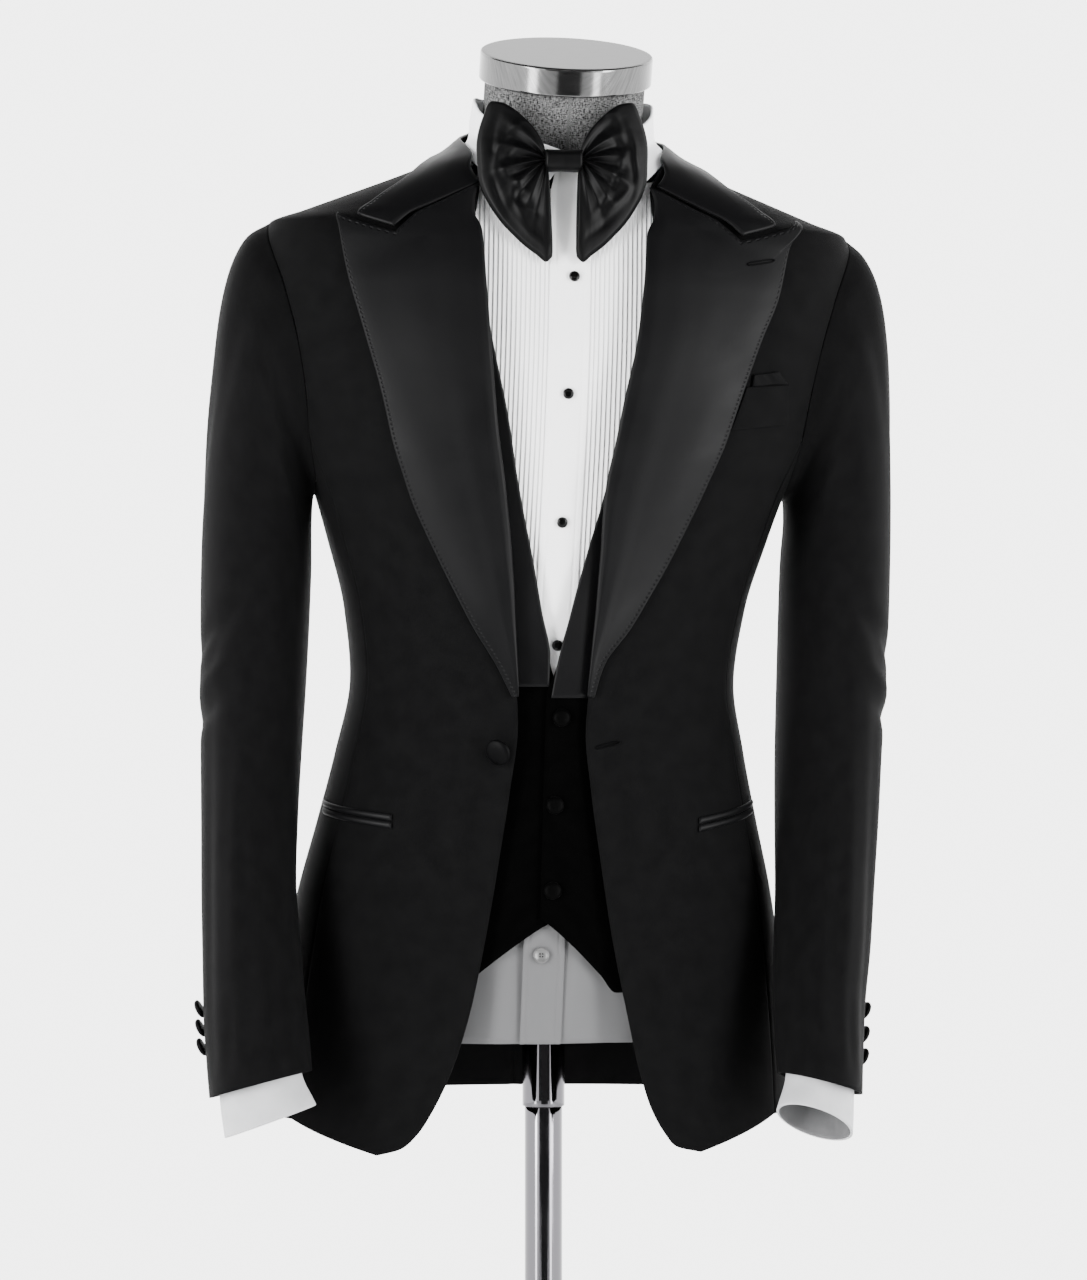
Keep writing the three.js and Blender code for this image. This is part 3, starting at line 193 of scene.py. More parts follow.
# %% [markdown]
# Each panel of cloth is a closed shell: an outer and an inner grid of points, and between them a
# rounded rim, because a folded or pressed edge of cloth is never knife-sharp and its roundness
# catches a thin line of light. The grid also carries its own lengths as UV, so a weave drawn on
# it has a real thread count.

# %% Meshes from grids
def way(grid, axis):
    """Length along a grid's lines, from its first point, averaged over the lines."""
    steps = np.linalg.norm(np.diff(grid, axis=axis), axis=-1).mean(axis=1 - axis)
    return np.r_[0, np.cumsum(steps)]


def make(name, points, faces, uv, stuff, nodes, edge=None):
    """A mesh object in metres that rides on the root and stands for its CAD nodes."""
    mesh = bpy.data.meshes.new(name)
    mesh.from_pydata((points * MM).tolist(), [], faces.tolist())
    layer = mesh.uv_layers.new(name="lengths")
    loops = faces.ravel()
    layer.data.foreach_set("uv", (uv[loops] * MM).ravel())
    if edge is not None:
        hem = mesh.uv_layers.new(name="hem")
        hem.data.foreach_set("uv", (edge[loops] * MM).ravel())
    mesh.polygons.foreach_set("use_smooth", np.ones(len(faces), bool))
    mesh.materials.append(STUFF[stuff][0])
    mesh.validate()
    piece = bpy.data.objects.new(name, mesh)
    bpy.context.scene.collection.objects.link(piece)
    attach(piece, "root")
    if nodes:
        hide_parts(*nodes)
    return piece


def outward(points, faces):
    """Faces turned so that the closed body's signed volume is positive."""
    a, b, c, d = (points[faces[:, k]] for k in range(4))
    volume = np.einsum("ij,ij->i", a, np.cross(b, c)) + np.einsum("ij,ij->i", a, np.cross(c, d))
    return faces[:, ::-1] if volume.sum() < 0 else faces


def quads(ids):
    """Four-sided faces between the neighbouring rows and columns of a grid of point numbers."""
    return np.stack([ids[:-1, :-1], ids[:-1, 1:], ids[1:, 1:], ids[1:, :-1]], -1).reshape(-1, 4)


RIM_BULGE = 0.18


def shell(name, outer, inner, stuff, nodes=(), closed=False, hem=None):
    """Cloth with a wall. Its rim runs through the outer edge, a point halfway that stands out by
    0.18 of the wall, and the inner edge."""
    rows, cols = outer.shape[:2]
    uv = np.stack(np.meshgrid(way(outer, 1), way(outer, 0)), -1)
    count = rows * cols
    ids = np.arange(count).reshape(rows, cols)
    if closed:
        ids = np.c_[ids, ids[:, 0]]
    face, back, flat_uv = outer.reshape(-1, 3), inner.reshape(-1, 3), uv.reshape(-1, 2)
    points, uvs = [face, back], [flat_uv, flat_uv]
    faces = [quads(ids), quads(ids + count)[:, ::-1]]
    if closed:
        loops = [(ids[0], ids[1, :-1]), (ids[-1], ids[-2, :-1])]
    else:
        border = np.r_[ids[0, :-1], ids[:-1, -1], ids[-1, :0:-1], ids[:0:-1, 0], ids[0, 0]]
        loops = [(border, np.r_[ids[1, :-1], ids[:-1, -2], ids[-2, :0:-1], ids[:0:-1, 1]])]
    base = 2 * count
    for line, inside in loops:
        on, under = face[line[:-1]], back[line[:-1]]
        wall = np.linalg.norm(on - under, axis=-1, keepdims=True)
        points.append((on + under) / 2 + unit(on - face[inside]) * wall * RIM_BULGE)
        uvs.append(flat_uv[line[:-1]])
        ring = base + np.r_[np.arange(len(on)), 0]
        for low, high in ((line, ring), (ring, line + count)):
            faces.append(np.stack([low[:-1], high[:-1], high[1:], low[1:]], -1))
        base += len(on)
    if closed:
        faces[-1], faces[-2] = faces[-1][:, ::-1], faces[-2][:, ::-1]
    points, uvs = np.concatenate(points), np.concatenate(uvs)
    faces = outward(points, np.concatenate(faces))
    edge = None
    if hem is not None:
        hem = hem.reshape(-1, 2)
        edge = np.concatenate([hem, hem, hem[loops[0][0][:-1]]])
    piece = make(name, points, faces, uvs, stuff, nodes, edge)
    return piece


PINHOLE = 0.002


def solid(name, rings, stuff, nodes=()):
    """A filled body through closed rings. Ever smaller copies draw its two ends in, down to a
    pinhole of 0.002 of the end ring's size. The pinhole stays open, so the mesh isn't closed."""
    shrunk = lambda ring, share: ring.mean(0) + (ring - ring.mean(0)) * share
    rings = np.concatenate([[shrunk(rings[0], s) for s in (PINHOLE, 0.5)], rings,
                            [shrunk(rings[-1], s) for s in (0.5, PINHOLE)]])
    rows, cols = rings.shape[:2]
    ids = np.arange(rows * cols).reshape(rows, cols)
    ids = np.c_[ids, ids[:, 0]]
    points = rings.reshape(-1, 3)
    uv = np.stack(np.meshgrid(way(rings, 1), way(rings, 0)), -1).reshape(-1, 2)
    return make(name, points, outward(points, quads(ids)), uv, stuff, nodes)


def turned(name, origin, axis, profile, stuff, nodes=(), count=48):
    """A profile of radius and height carried round an axis."""
    along = unit(np.asarray(axis, float))
    help_axis = np.array([0, 1, 0]) if abs(along[2]) > 0.9 else np.array([0, 0, 1])
    side = unit(np.cross(help_axis, along))
    over = np.cross(along, side)
    turn = np.linspace(0, 2 * np.pi, count, endpoint=False)
    circle = side * np.cos(turn)[:, None] + over * np.sin(turn)[:, None]
    profile = np.asarray(profile, float)
    rings = (np.asarray(origin, float) + circle[None] * profile[:, 0, None, None]
             + along * profile[:, 1, None, None])
    return solid(name, rings, stuff, nodes)


print("helpers ready")

# %% [markdown]
# A panel is drawn between two edge lines, row by row. Where its first or last row has a line of
# its own, such as a hem with points or a shoulder seam, the rows near it follow, less and less.

# %% Panels
def panel(body, start, end, rows, cols, foot=None, head=None, reach=5, across=None):
    """Angles and heights between two edges: a straight mix of angle and of way along the outline,
    plus the end lines' own shift times one minus the rows away over the reach, to the power 1.5."""
    scale = (rows - 1) / (len(start) - 1)
    a, b = finer(start, rows), finer(end, rows)
    share = np.linspace(0, 1, cols) if across is None else across
    cols = len(share)
    angle = a[:, :1] + (b[:, :1] - a[:, :1]) * share
    run = body.run(a[:, 1:]) + (body.run(b[:, 1:]) - body.run(a[:, 1:])) * share
    number = np.arange(rows)[:, None]
    for line, away, row in ((foot, number, 0), (head, rows - 1 - number, -1)):
        if line is None:
            continue
        line = np.asarray(line, float)
        keys = np.linspace(0, 1, len(line)) if line.shape[1] == 2 else line[:, 2]
        line = smooth(np.c_[keys, line[:, :2]], share)
        fade = np.maximum(0, 1 - away / (reach * scale)) ** 1.5
        angle = angle + (line[:, 0] - angle[row]) * fade
        run = run + (body.run(line[:, 1]) - run[row]) * fade
    return angle, body.height(run)


def drawn_in(grid, start=0, end=0, foot=0, head=0):
    """The rim points of a grid drawn in along its own lines, by millimetres."""
    grid = grid.copy()
    if start:
        grid[:, 0] += unit(grid[:, 1] - grid[:, 0]) * start
    if end:
        grid[:, -1] += unit(grid[:, -2] - grid[:, -1]) * end
    if foot:
        grid[0] += unit(grid[1] - grid[0]) * foot
    if head:
        grid[-1] += unit(grid[-2] - grid[-1]) * head
    return grid


def creases(x, z, table):
    """Soft troughs and ridges: each row has a place x and z, a tilt from upright in degrees, half
    a length, half a width and a height in millimetres, and falls off as a bell both ways."""
    total = np.zeros(np.broadcast(x, z).shape)
    for x0, z0, tilt, length, width, height in table:
        c, s = np.cos(np.radians(tilt)), np.sin(np.radians(tilt))
        along = (x - x0) * s + (z - z0) * c
        aside = (x - x0) * c - (z - z0) * s
        total += height * np.exp(-(along / length) ** 2 - (aside / width) ** 2)
    return total


def hole_point(hole, angle):
    """Armhole: an oval of angle and height, gone round from its top down the front."""
    height, radius, front, back = hole
    s = np.sin(np.radians(angle))
    return np.stack([90 - np.where(s > 0, front, back) * s,
                     height + radius * np.cos(np.radians(angle))], -1)


ARMHOLE = (1388, 102, 24.5, 22)
ARM_STEPS = 6
FRONT_PITCH, BACK_PITCH = 125, 235


def hole_run(hole, start, end, steps):
    """Armhole points between two angles of its loop."""
    return hole_point(hole, np.linspace(start, end, steps + 1))

# %% [markdown]
# Materials. The jacket is a fine matt wool, its facings satin, the shirt cotton, the torso linen
# of mixed grey yarns, the stand metal. Weaves are drawn from the UV lengths, so threads follow
# each panel's own grain; what never changes over a cloth is set straight on the shader.

# %% Node helpers
def shader(name, slot, colour, roughness, **sockets):
    """A new material with its constant sockets set, ready for nodes."""
    material = bpy.data.materials.new(name)
    material.use_nodes = True
    principled = material.node_tree.nodes["Principled BSDF"]
    principled.inputs["Base Color"].default_value = (*colour, 1)
    principled.inputs["Roughness"].default_value = roughness
    for label, value in sockets.items():
        principled.inputs[label.replace("_", " ")].default_value = value
    STUFF[name] = (material, slot)
    return material.node_tree, principled


def node(tree, kind, inputs=(), **settings):
    """One node, its settings, and its inputs as values or links."""
    made = tree.nodes.new("ShaderNode" + kind)
    for label, value in settings.items():
        setattr(made, label, value)
    for key, value in dict(inputs).items():
        if hasattr(value, "is_output") or isinstance(value, bpy.types.NodeSocket):
            tree.links.new(value, made.inputs[key])
        else:
            made.inputs[key].default_value = value
    return made


def maths(tree, operation, *values):
    """One arithmetic node; its output socket."""
    return node(tree, "Math", dict(enumerate(values)), operation=operation).outputs[0]


def lengths(tree, layer="lengths"):
    """The two lengths on the cloth, in metres, as sockets."""
    uv = node(tree, "UVMap", uv_map=layer).outputs["UV"]
    split = node(tree, "SeparateXYZ", {"Vector": uv})
    return uv, split.outputs["X"], split.outputs["Y"]


def waves(tree, length, pitch):
    """Sine of a length, one turn for each pitch."""
    return maths(tree, "SINE", maths(tree, "MULTIPLY", length, 2 * np.pi / pitch))


def noise(tree, vector, scale, stretch=(1, 1, 1), detail=3):
    """Noise on a vector stretched along its axes."""
    mapped = node(tree, "Mapping", {"Vector": vector, "Scale": stretch}).outputs[0]
    return node(tree, "TexNoise", {"Vector": mapped, "Scale": scale, "Detail": detail}
                ).outputs["Fac"]


def bump(tree, principled, height, strength, distance):
    """Relief on the shader from a height socket."""
    made = node(tree, "Bump", {"Height": height, "Strength": strength, "Distance": distance})
    tree.links.new(made.outputs[0], principled.inputs["Normal"])


def blend(tree, share, low, high):
    """A colour between two, by a share."""
    made = node(tree, "Mix", data_type="RGBA")
    tree.links.new(share, made.inputs[0])
    made.inputs[6].default_value = (*low, 1)
    made.inputs[7].default_value = (*high, 1)
    return made.outputs[2]


def spread(tree, value, low, high):
    """Stretches a socket's values from low..high to 0..1."""
    return node(tree, "MapRange", {"Value": value, "From Min": low, "From Max": high}).outputs[0]


STUFF = {}

# %% [markdown]
# A plain weave passes each thread over one and under the next, so its relief is the product of
# two sines. Satin lets a thread float over several, so it shines along one way and shows a fine
# ribbing. Black cloth reflects well under one per cent of the light, white cotton over eighty.

# %% Woven cloths
def woven(name, slot, colour, light, roughness, pitch, relief, grain=60, **sockets):
    """Plain weave: the sines of both lengths times each other, and slow uneven dye."""
    tree, principled = shader(name, slot, colour, roughness, **sockets)
    uv, u, v = lengths(tree)
    threads = maths(tree, "MULTIPLY", waves(tree, u, pitch), waves(tree, v, pitch))
    yarn = noise(tree, uv, 1 / pitch * 0.6, (1, 0.3, 1))
    bump(tree, principled, maths(tree, "ADD", threads, yarn), relief, pitch * 0.4)
    dye = noise(tree, uv, grain)
    tree.links.new(blend(tree, spread(tree, dye, 0.3, 0.7), colour, light),
                   principled.inputs["Base Color"])
    return tree, principled


woven("wool", "jacket_wool", (0.0021, 0.0021, 0.0022), (0.003, 0.003, 0.0031), 0.6, 0.0008,
      0.35, Sheen_Weight=0.006, Sheen_Roughness=0.5, Specular_IOR_Level=0.012)
woven("waistcoat_cloth", "waistcoat_wool", (0.0005, 0.0005, 0.0005), (0.0008, 0.0008, 0.0008),
      0.8, 0.0008, 0.3, Sheen_Weight=0.002, Specular_IOR_Level=0.003)


def shirting(name, dark, light, shine=0.2):
    """Shirt cotton between two colours: threads 0.3 mm wide."""
    return woven(name, "shirt_cotton", dark, light, 0.8, 0.0006, 0.25, Specular_IOR_Level=shine)


shirting("cotton", (0.84, 0.845, 0.86), (0.88, 0.885, 0.89))
# Painted shade: the cuff's cotton is grey, standing for the shade of the coat's sleeve over it
shirting("cuff_cotton_painted_shade", (0.36, 0.362, 0.37), (0.41, 0.412, 0.42), 0.1)
# Painted shade: the cuff's inside is darker still, since little light gets back out of a sleeve
shirting("cuff_inside_painted_shade", (0.09, 0.09, 0.092), (0.12, 0.12, 0.123), 0.1)
# Body of the shirt: painted shade, the cotton greys below the waistcoat's points, where the
# jacket's fronts shade it
tree, principled = shirting("body_cotton", (0.84, 0.845, 0.86), (0.88, 0.885, 0.89))
place = node(tree, "TexCoord").outputs["Object"]
height = node(tree, "SeparateXYZ", {"Vector": place}).outputs["Z"]
tree.links.new(blend(tree, spread(tree, height, 0.96, 1.04), (0.085, 0.085, 0.087),
                     (0.95, 0.95, 0.955)), principled.inputs["Base Color"])
# Tucks: painted shade, the last fifth of each, under the fold of the next, is darker, as the fold
# shades it
tree, principled = shirting("tucked_cotton_painted_shade", (0.9, 0.9, 0.905), (0.93, 0.93, 0.935))
_, tuck, _ = lengths(tree, "hem")
fold = maths(tree, "FRACT", tuck)
tree.links.new(blend(tree, spread(tree, fold, 0.72, 0.86), (0.94, 0.94, 0.945),
                     (0.58, 0.58, 0.59)), principled.inputs["Base Color"])


def satin_weave(name, slot, colour, roughness, shine, stitched=False, crumple=0):
    """Satin: long floats along one way of the cloth, so a fine ribbing and a soft sheen; a
    stitched edge has one pick every 3 mm, 2.5 mm in from the edge."""
    tree, principled = shader(name, slot, colour, roughness, Sheen_Weight=0.006,
                              Sheen_Roughness=0.4, Specular_IOR_Level=shine,
                              Anisotropic=0.3)
    uv, u, v = lengths(tree)
    floats = noise(tree, uv, 900, (1, 0.15, 1), 2)
    height = maths(tree, "MULTIPLY", floats, 0.25)
    if stitched:
        _, inwards, along = lengths(tree, "hem")
        off = maths(tree, "DIVIDE", maths(tree, "SUBTRACT", inwards, 0.0026), 0.0007)
        line = maths(tree, "POWER", 2.718, maths(tree, "MULTIPLY", maths(
            tree, "MULTIPLY", off, off), -1))
        picks = spread(tree, waves(tree, along, 0.0034), -0.2, 0.6)
        height = maths(tree, "SUBTRACT", height, maths(tree, "MULTIPLY", maths(
            tree, "MULTIPLY", line, picks), 3))
    if crumple:
        height = maths(tree, "ADD", height, maths(tree, "MULTIPLY", noise(
            tree, uv, crumple, (1, 0.4, 1), 1), 2.5))
    bump(tree, principled, height, 0.5, 0.0003)
    slow = maths(tree, "MULTIPLY", noise(tree, uv, 25), 0.3)
    tree.links.new(maths(tree, "ADD", slow, roughness - 0.15), principled.inputs["Roughness"])
    return tree, principled


satin_weave("satin", "satin", (0.0018, 0.0018, 0.002), 0.45, 0.07)
satin_weave("lapel_satin", "satin", (0.0018, 0.0018, 0.002), 0.45, 0.07, stitched=True)
satin_weave("bow_satin", "satin", (0.0008, 0.0008, 0.0009), 0.42, 0.07, crumple=140)
satin_weave("button_cloth", "covered_button", (0.001, 0.001, 0.0011), 0.45, 0.03)
satin_weave("dark_button", "covered_button", (0.0006, 0.0006, 0.0006), 0.5, 0.012)
satin_weave("silk", "satin", (0.001, 0.001, 0.0011), 0.5, 0.02)

# %% [markdown]
# The linen is heathered: single yarns of lighter and darker grey run both ways, each a few
# centimetres long. Two noises, one stretched along the warp and one along the weft, give them.

# %% Linen, metals and small hard parts
tree, principled = shader("linen", "form_linen", (0.04, 0.039, 0.038), 0.9, Sheen_Weight=0.02,
                          Specular_IOR_Level=0.05)
uv, u, v = lengths(tree)
warp = noise(tree, uv, 1000, (1, 0.22, 1), 2)
weft = noise(tree, uv, 1000, (0.22, 1, 1), 2)
yarns = spread(tree, maths(tree, "ADD", warp, weft), 0.82, 1.18)
tree.links.new(blend(tree, yarns, (0.007, 0.007, 0.007), (0.15, 0.15, 0.15)),
               principled.inputs["Base Color"])
bump(tree, principled, maths(tree, "ADD", yarns, maths(
    tree, "MULTIPLY", waves(tree, u, 0.0011), waves(tree, v, 0.0011))), 0.5, 0.0005)

tree, principled = shader("steel", "cap_steel", (0.16, 0.16, 0.16), 0.22, Metallic=1)
place = node(tree, "TexCoord").outputs["Object"]
facing_up = node(tree, "SeparateXYZ", {"Vector": node(tree, "NewGeometry").outputs["Normal"]}
                 ).outputs["Z"]
brushed = noise(tree, place, 60, (1, 14, 1), 4)
rough = maths(tree, "ADD", maths(tree, "MULTIPLY", spread(tree, facing_up, 0.6, 0.9), 0.3), 0.13)
tree.links.new(maths(tree, "ADD", rough, maths(tree, "MULTIPLY", brushed, 0.04)),
               principled.inputs["Roughness"])
tree.links.new(blend(tree, spread(tree, brushed, 0.3, 0.7), (0.078, 0.078, 0.078),
                     (0.115, 0.115, 0.115)), principled.inputs["Base Color"])


def polished(name, slot, colour, scale, low, high, **sockets):
    """A hard smooth material whose roughness wanders a little: noise stretched from low..high."""
    tree, principled = shader(name, slot, colour, 0.1, **sockets)
    place = node(tree, "TexCoord").outputs["Object"]
    tree.links.new(spread(tree, noise(tree, place, scale), low, high),
                   principled.inputs["Roughness"])


polished("chrome", "stand_chrome", (0.1, 0.097, 0.105), 40, -0.1, 6, Metallic=1)
polished("black_face", "stud_black", (0.001, 0.001, 0.001), 300, -0.6, 5, Specular_IOR_Level=0.15)
polished("stud_rim", "stud_black", (0.12, 0.12, 0.12), 300, -0.6, 4, Metallic=1)

# Painted shade: the pearl button is made dark grey, the tone of the shaded shirt below the
# waistcoat; the noise is the pearl's own uneven tone
tree, principled = shader("pearl_painted_shade", "shirt_button", (0.07, 0.07, 0.07), 0.3,
                          Specular_IOR_Level=0.5)
place = node(tree, "TexCoord").outputs["Object"]
tree.links.new(blend(tree, noise(tree, place, 220), (0.06, 0.06, 0.06), (0.085, 0.085, 0.085)),
               principled.inputs["Base Color"])
print("materials", sorted(STUFF))

# %% [markdown]
# The jacket body. Each half has a front from the lapel's edge to the side seam, a narrow side
# panel under the arm and a back. On the real jacket they are stitched edge to edge; here each
# edge stops 0.15 mm short of the seam. The bulge of its rim, 0.36 mm, then reaches over the seam,
# so neighbouring meshes overlap a little there. The front's edge is a table of heights and
# distances from the middle, curved away at the hem.

# %% Jacket body
FRONT_EDGE = [
    [792, 121, 123, 0], [797, 104, 104, 0.01], [808, 92, 94, 0.029], [827, 80.5, 83, 0.064],
    [856, 68, 73, 0.119], [898, 56, 62.5, 0.197], [950, 46.5, 50.5, 0.288],
    [1008, 38, 40, 0.389], [1062, 31, 31, 0.483], [1104, 26.5, 25.5, 0.559],
    [1148, 29, 27.3, 0.645], [1195, 33, 30, 0.734], [1240, 37.8, 31.6, 0.822],
    [1290, 45, 33, 0.919], [1338, 53, 41, 1], [1385, 58.5, 50.5, 1], [1432, 63, 56.5, 1],
    [1475, 67, 59.5, 1], [1516, 68, 62, 1], [1540, 78, 75, 1],
]
SEAM_ROWS = 15
SEAM_ANGLES = [[0, 62, 114], [0.62, 66, 112], [1, 69.93, 108.02]]
seam_top = hole_point(ARMHOLE, FRONT_PITCH)[1]
seam_share = np.array([row[3] for row in FRONT_EDGE[:SEAM_ROWS]])
seam_angle = smooth(SEAM_ANGLES, seam_share)
front_seam = np.c_[seam_angle[:, 0], 816 + (seam_top - 816) * seam_share]
back_seam = np.c_[seam_angle[:, 1], 824 + (seam_top - 824) * seam_share]

# Creases of the fronts, for the wearer's right and left: x, z, tilt, length, width, height
FRONT_CREASES = {
    "right": [[95, 1080, 62, 60, 9, -1.2], [70, 1120, 50, 45, 8, -1.0], [150, 960, 8, 70, 16, 1.2],
              [128, 900, 4, 90, 14, -1.2], [165, 1330, 12, 60, 14, -1.4],
              [185, 1300, 20, 45, 10, 1.2], [100, 1010, 75, 45, 10, 0.8]],
    "left": [[92, 1075, 60, 55, 9, -1.2], [66, 1118, 52, 45, 8, -1.0], [146, 950, 6, 80, 17, 1.2],
             [120, 905, 3, 85, 13, -1.1], [168, 1300, 14, 60, 13, -1.4],
             [187, 1285, 22, 45, 10, 1.2], [105, 1005, 78, 40, 10, 0.8]],
}
FRONT_DEPTH = 1.3
BACK_CREASES = [[150, 1120, 80, 60, 9, -1.2], [130, 1080, 84, 70, 10, 0.9],
                [160, 1060, 72, 50, 8, -1.0], [110, 1400, 25, 60, 14, -1.2],
                [128, 1385, 18, 70, 13, 1.0], [165, 930, 3, 90, 15, 1.0]]


def laid(body, side, angle, height, outer, wall, ease):
    """Outer and inner grids of a panel on a body, side -1 or 1."""
    return (drawn_in(body.at(side * angle, height, outer), **ease),
            drawn_in(body.at(side * angle, height, outer - wall), **ease))


for name, side in SIDES.items():
    column = 1 if side < 0 else 2
    edge = [[float(coat.angle(row[column], row[0])), row[0]] for row in FRONT_EDGE]
    arm = hole_run(ARMHOLE, FRONT_PITCH, 0, ARM_STEPS)
    a, z = panel(coat, [*edge, [90, 1548]], [*front_seam, *arm[1:]], 190, 70)
    x = coat.ring(np.radians(a), z)[..., 0]
    fold = (FRONT_DEPTH * creases(x, z, FRONT_CREASES[name])
            * ramp(x - np.abs(x[:, :1]), 4, 30))
    shell(f"jacket_front_{name}_cloth", *laid(coat, side, a, z, fold, 2,
          {"end": 0.15, "head": 0.15}), "wool", [f"jacket_front_{name}"])
    under = hole_run(ARMHOLE, FRONT_PITCH, BACK_PITCH, ARM_STEPS)
    a, z = panel(coat, front_seam, back_seam, 130, 26, head=under, reach=6)
    shell(f"jacket_side_{name}_cloth", *laid(coat, side, a, z, np.zeros(a.shape), 2,
          {"start": 0.15, "end": 0.15, "head": 0.15}), "wool", [f"jacket_side_{name}"])
    arm = hole_run(ARMHOLE, BACK_PITCH, 360, ARM_STEPS)
    spine = [[180, z] for z in [*back_seam[:, 1], *np.linspace(seam_top, 1545, ARM_STEPS + 1)[1:]]]
    tip = hole_point(ARMHOLE, 0)[1]
    shoulder = [[90, float(coat.height(coat.run(tip) + (coat.run(1548) - coat.run(tip)) * s)),
                 s * 4 / 7] for s in np.linspace(0, 1, 5)]
    nape = [[90 + 90 * s, 1548 - 3 * s, (4 + 3 * s) / 7] for s in np.linspace(0, 1, 4)[1:]]
    a, z = panel(coat, [*back_seam, *arm[1:]], spine, 170, 66, head=[*shoulder, *nape], reach=7)
    x = coat.ring(np.radians(a), z)[..., 0]
    fold = creases(x, z, BACK_CREASES) * ramp(x, 4, 40)
    fold -= 0.5 * np.exp(-((180 - a) / 1.6) ** 2)
    shell(f"jacket_back_{name}_cloth", *laid(coat, side, a, z, fold, 2,
          {"start": 0.15, "end": 0.15, "head": 0.15}), "wool", [f"jacket_back_{name}"])
print("jacket body made")

# %% [markdown]
# A sleeve is two pieces of cloth round the arm: the top one covers the front, outside and back
# of the arm and the under one the inside. It hangs from the armhole's own shape and turns into an
# oval. The tables give, section by section, its outer and inner edge as seen from the front, its
# depth and the pitch of the section's plane.

# %% Sleeves
SLEEVE_SHAPE = [
    [0, 57, 0, 1], [2, 58, 0, 0.85], [4, 59.5, 0, 0.6], [6, 61, 0, 0.35], [8, 61.5, 0, 0.15],
    [9, 61, 0, 0], [8, 60, 0.02, 0], [4, 58, 0.06, 0], [-3, 56, 0.13, 0], [-13, 54, 0.22, 0],
    [-30, 52.5, 0.3, 0], [-49, 51, 0.36, 0], [-67, 50, 0.4, 0], [-84, 49, 0.38, 0],
    [-97, 48, 0.27, 0], [-106, 47, 0.12, 0],
]
ARMS = {
    "right": [
        [-212.5, 1491, -177, 1286], [-228.4, 1482, -178, 1284.5], [-240.6, 1461, -178, 1282],
        [-248.9, 1427, -178, 1278], [-254.2, 1381, -178, 1270], [-258.8, 1329, -178, 1258],
        [-261.8, 1268, -178, 1237], [-263.1, 1207, -179.4, 1199], [-263.6, 1145.5, -182.4, 1145.5],
        [-263.5, 1092.3, -186.3, 1092], [-263.5, 1039.6, -190, 1041], [-263.8, 987.5, -192.2, 991],
        [-263.5, 943.3, -190, 950.3], [-263.1, 899.5, -187.3, 910], [-261.2, 863, -184.5, 879],
        [-259.3, 837, -183.1, 856.7],
    ],
    "left": [
        [235.4, 1488, 188, 1286], [249.1, 1476, 190, 1285], [259.6, 1455, 190, 1283],
        [265.9, 1426, 189.5, 1280], [269.8, 1382, 189, 1272], [271.5, 1329.3, 188, 1259.7],
        [270.9, 1269, 185.8, 1238], [269.1, 1207, 183.6, 1199], [265.5, 1145, 181, 1145],
        [260.6, 1091, 178.2, 1091.3], [255, 1037.6, 175.5, 1039.5], [248.3, 984.7, 173, 989],
        [242.5, 940, 169, 944], [235.3, 895.5, 166, 907.4], [231.7, 858.7, 165.9, 874.4],
        [229.4, 834.6, 166.2, 852],
    ],
}
CUFF_END = {"right": [-248, 808, -180.5, 832, -113, 42, 0.1],
            "left": [221, 804, 164.5, 826, -113, 42, 0.33]}
# Creases of a sleeve: angle round it, height, tilt, length, width, height of the fold
SLEEVE_CREASES = {
    "right": [[25, 1180, 62, 34, 8, -2.4], [40, 1150, 66, 34, 8, 2.0], [18, 1120, 72, 34, 8, -2.2],
              [60, 1195, 40, 40, 9, -1.6], [70, 1010, 4, 120, 9, 1.2], [30, 980, 2, 150, 10, -1.3],
              [95, 960, -3, 110, 8, 1.2], [45, 1400, 10, 60, 10, -1.6], [80, 1380, 6, 70, 11, 1.2],
              [10, 1330, 14, 60, 10, -1.4], [130, 1340, -18, 50, 9, -1.8],
              [120, 1290, -24, 45, 8, 1.4], [-60, 1150, 60, 40, 9, -1.6], [55, 880, 10, 40, 8, -1]],
    "left": [[28, 1175, 60, 34, 8, -2.4], [42, 1146, 64, 34, 8, 2.0], [16, 1118, 74, 34, 8, -2.0],
             [62, 1190, 42, 40, 9, -1.7], [72, 1000, 3, 120, 9, 1.3], [34, 975, 4, 150, 10, -1.4],
             [98, 950, -2, 110, 8, 1.2], [48, 1395, 8, 60, 10, -1.7], [84, 1375, 8, 70, 11, 1.3],
             [12, 1325, 12, 60, 10, -1.5], [128, 1335, -20, 50, 9, -1.9],
             [118, 1285, -22, 45, 8, 1.5], [-60, 1145, 62, 40, 9, -1.6], [57, 878, 8, 40, 8, -1]],
}


def arm_ring(section, shrink, wall, angle):
    """Sleeve section: an oval about the line from its outer to its inner edge, in a plane that
    pitches forwards. Angle 0 is outside, 90 in front."""
    ox, oz, ix, iz, depth, half, pitch = np.moveaxis(np.asarray(section, float), -1, 0)
    flat = np.zeros_like(ox)
    centre = np.stack([(ox + ix) / 2, depth, (oz + iz) / 2], -1)
    reach = np.hypot(ox - ix, oz - iz) / 2
    over = unit(np.stack([ox - ix, flat, oz - iz], -1))
    forward = unit(np.stack([flat, flat - 1, pitch], -1))
    c, s = np.cos(np.radians(angle))[..., None], np.sin(np.radians(angle))[..., None]
    return (centre[..., None, :] + over[..., None, :] * c * (reach * shrink - wall)[..., None, None]
            + forward[..., None, :] * s * (half * shrink - wall)[..., None, None])


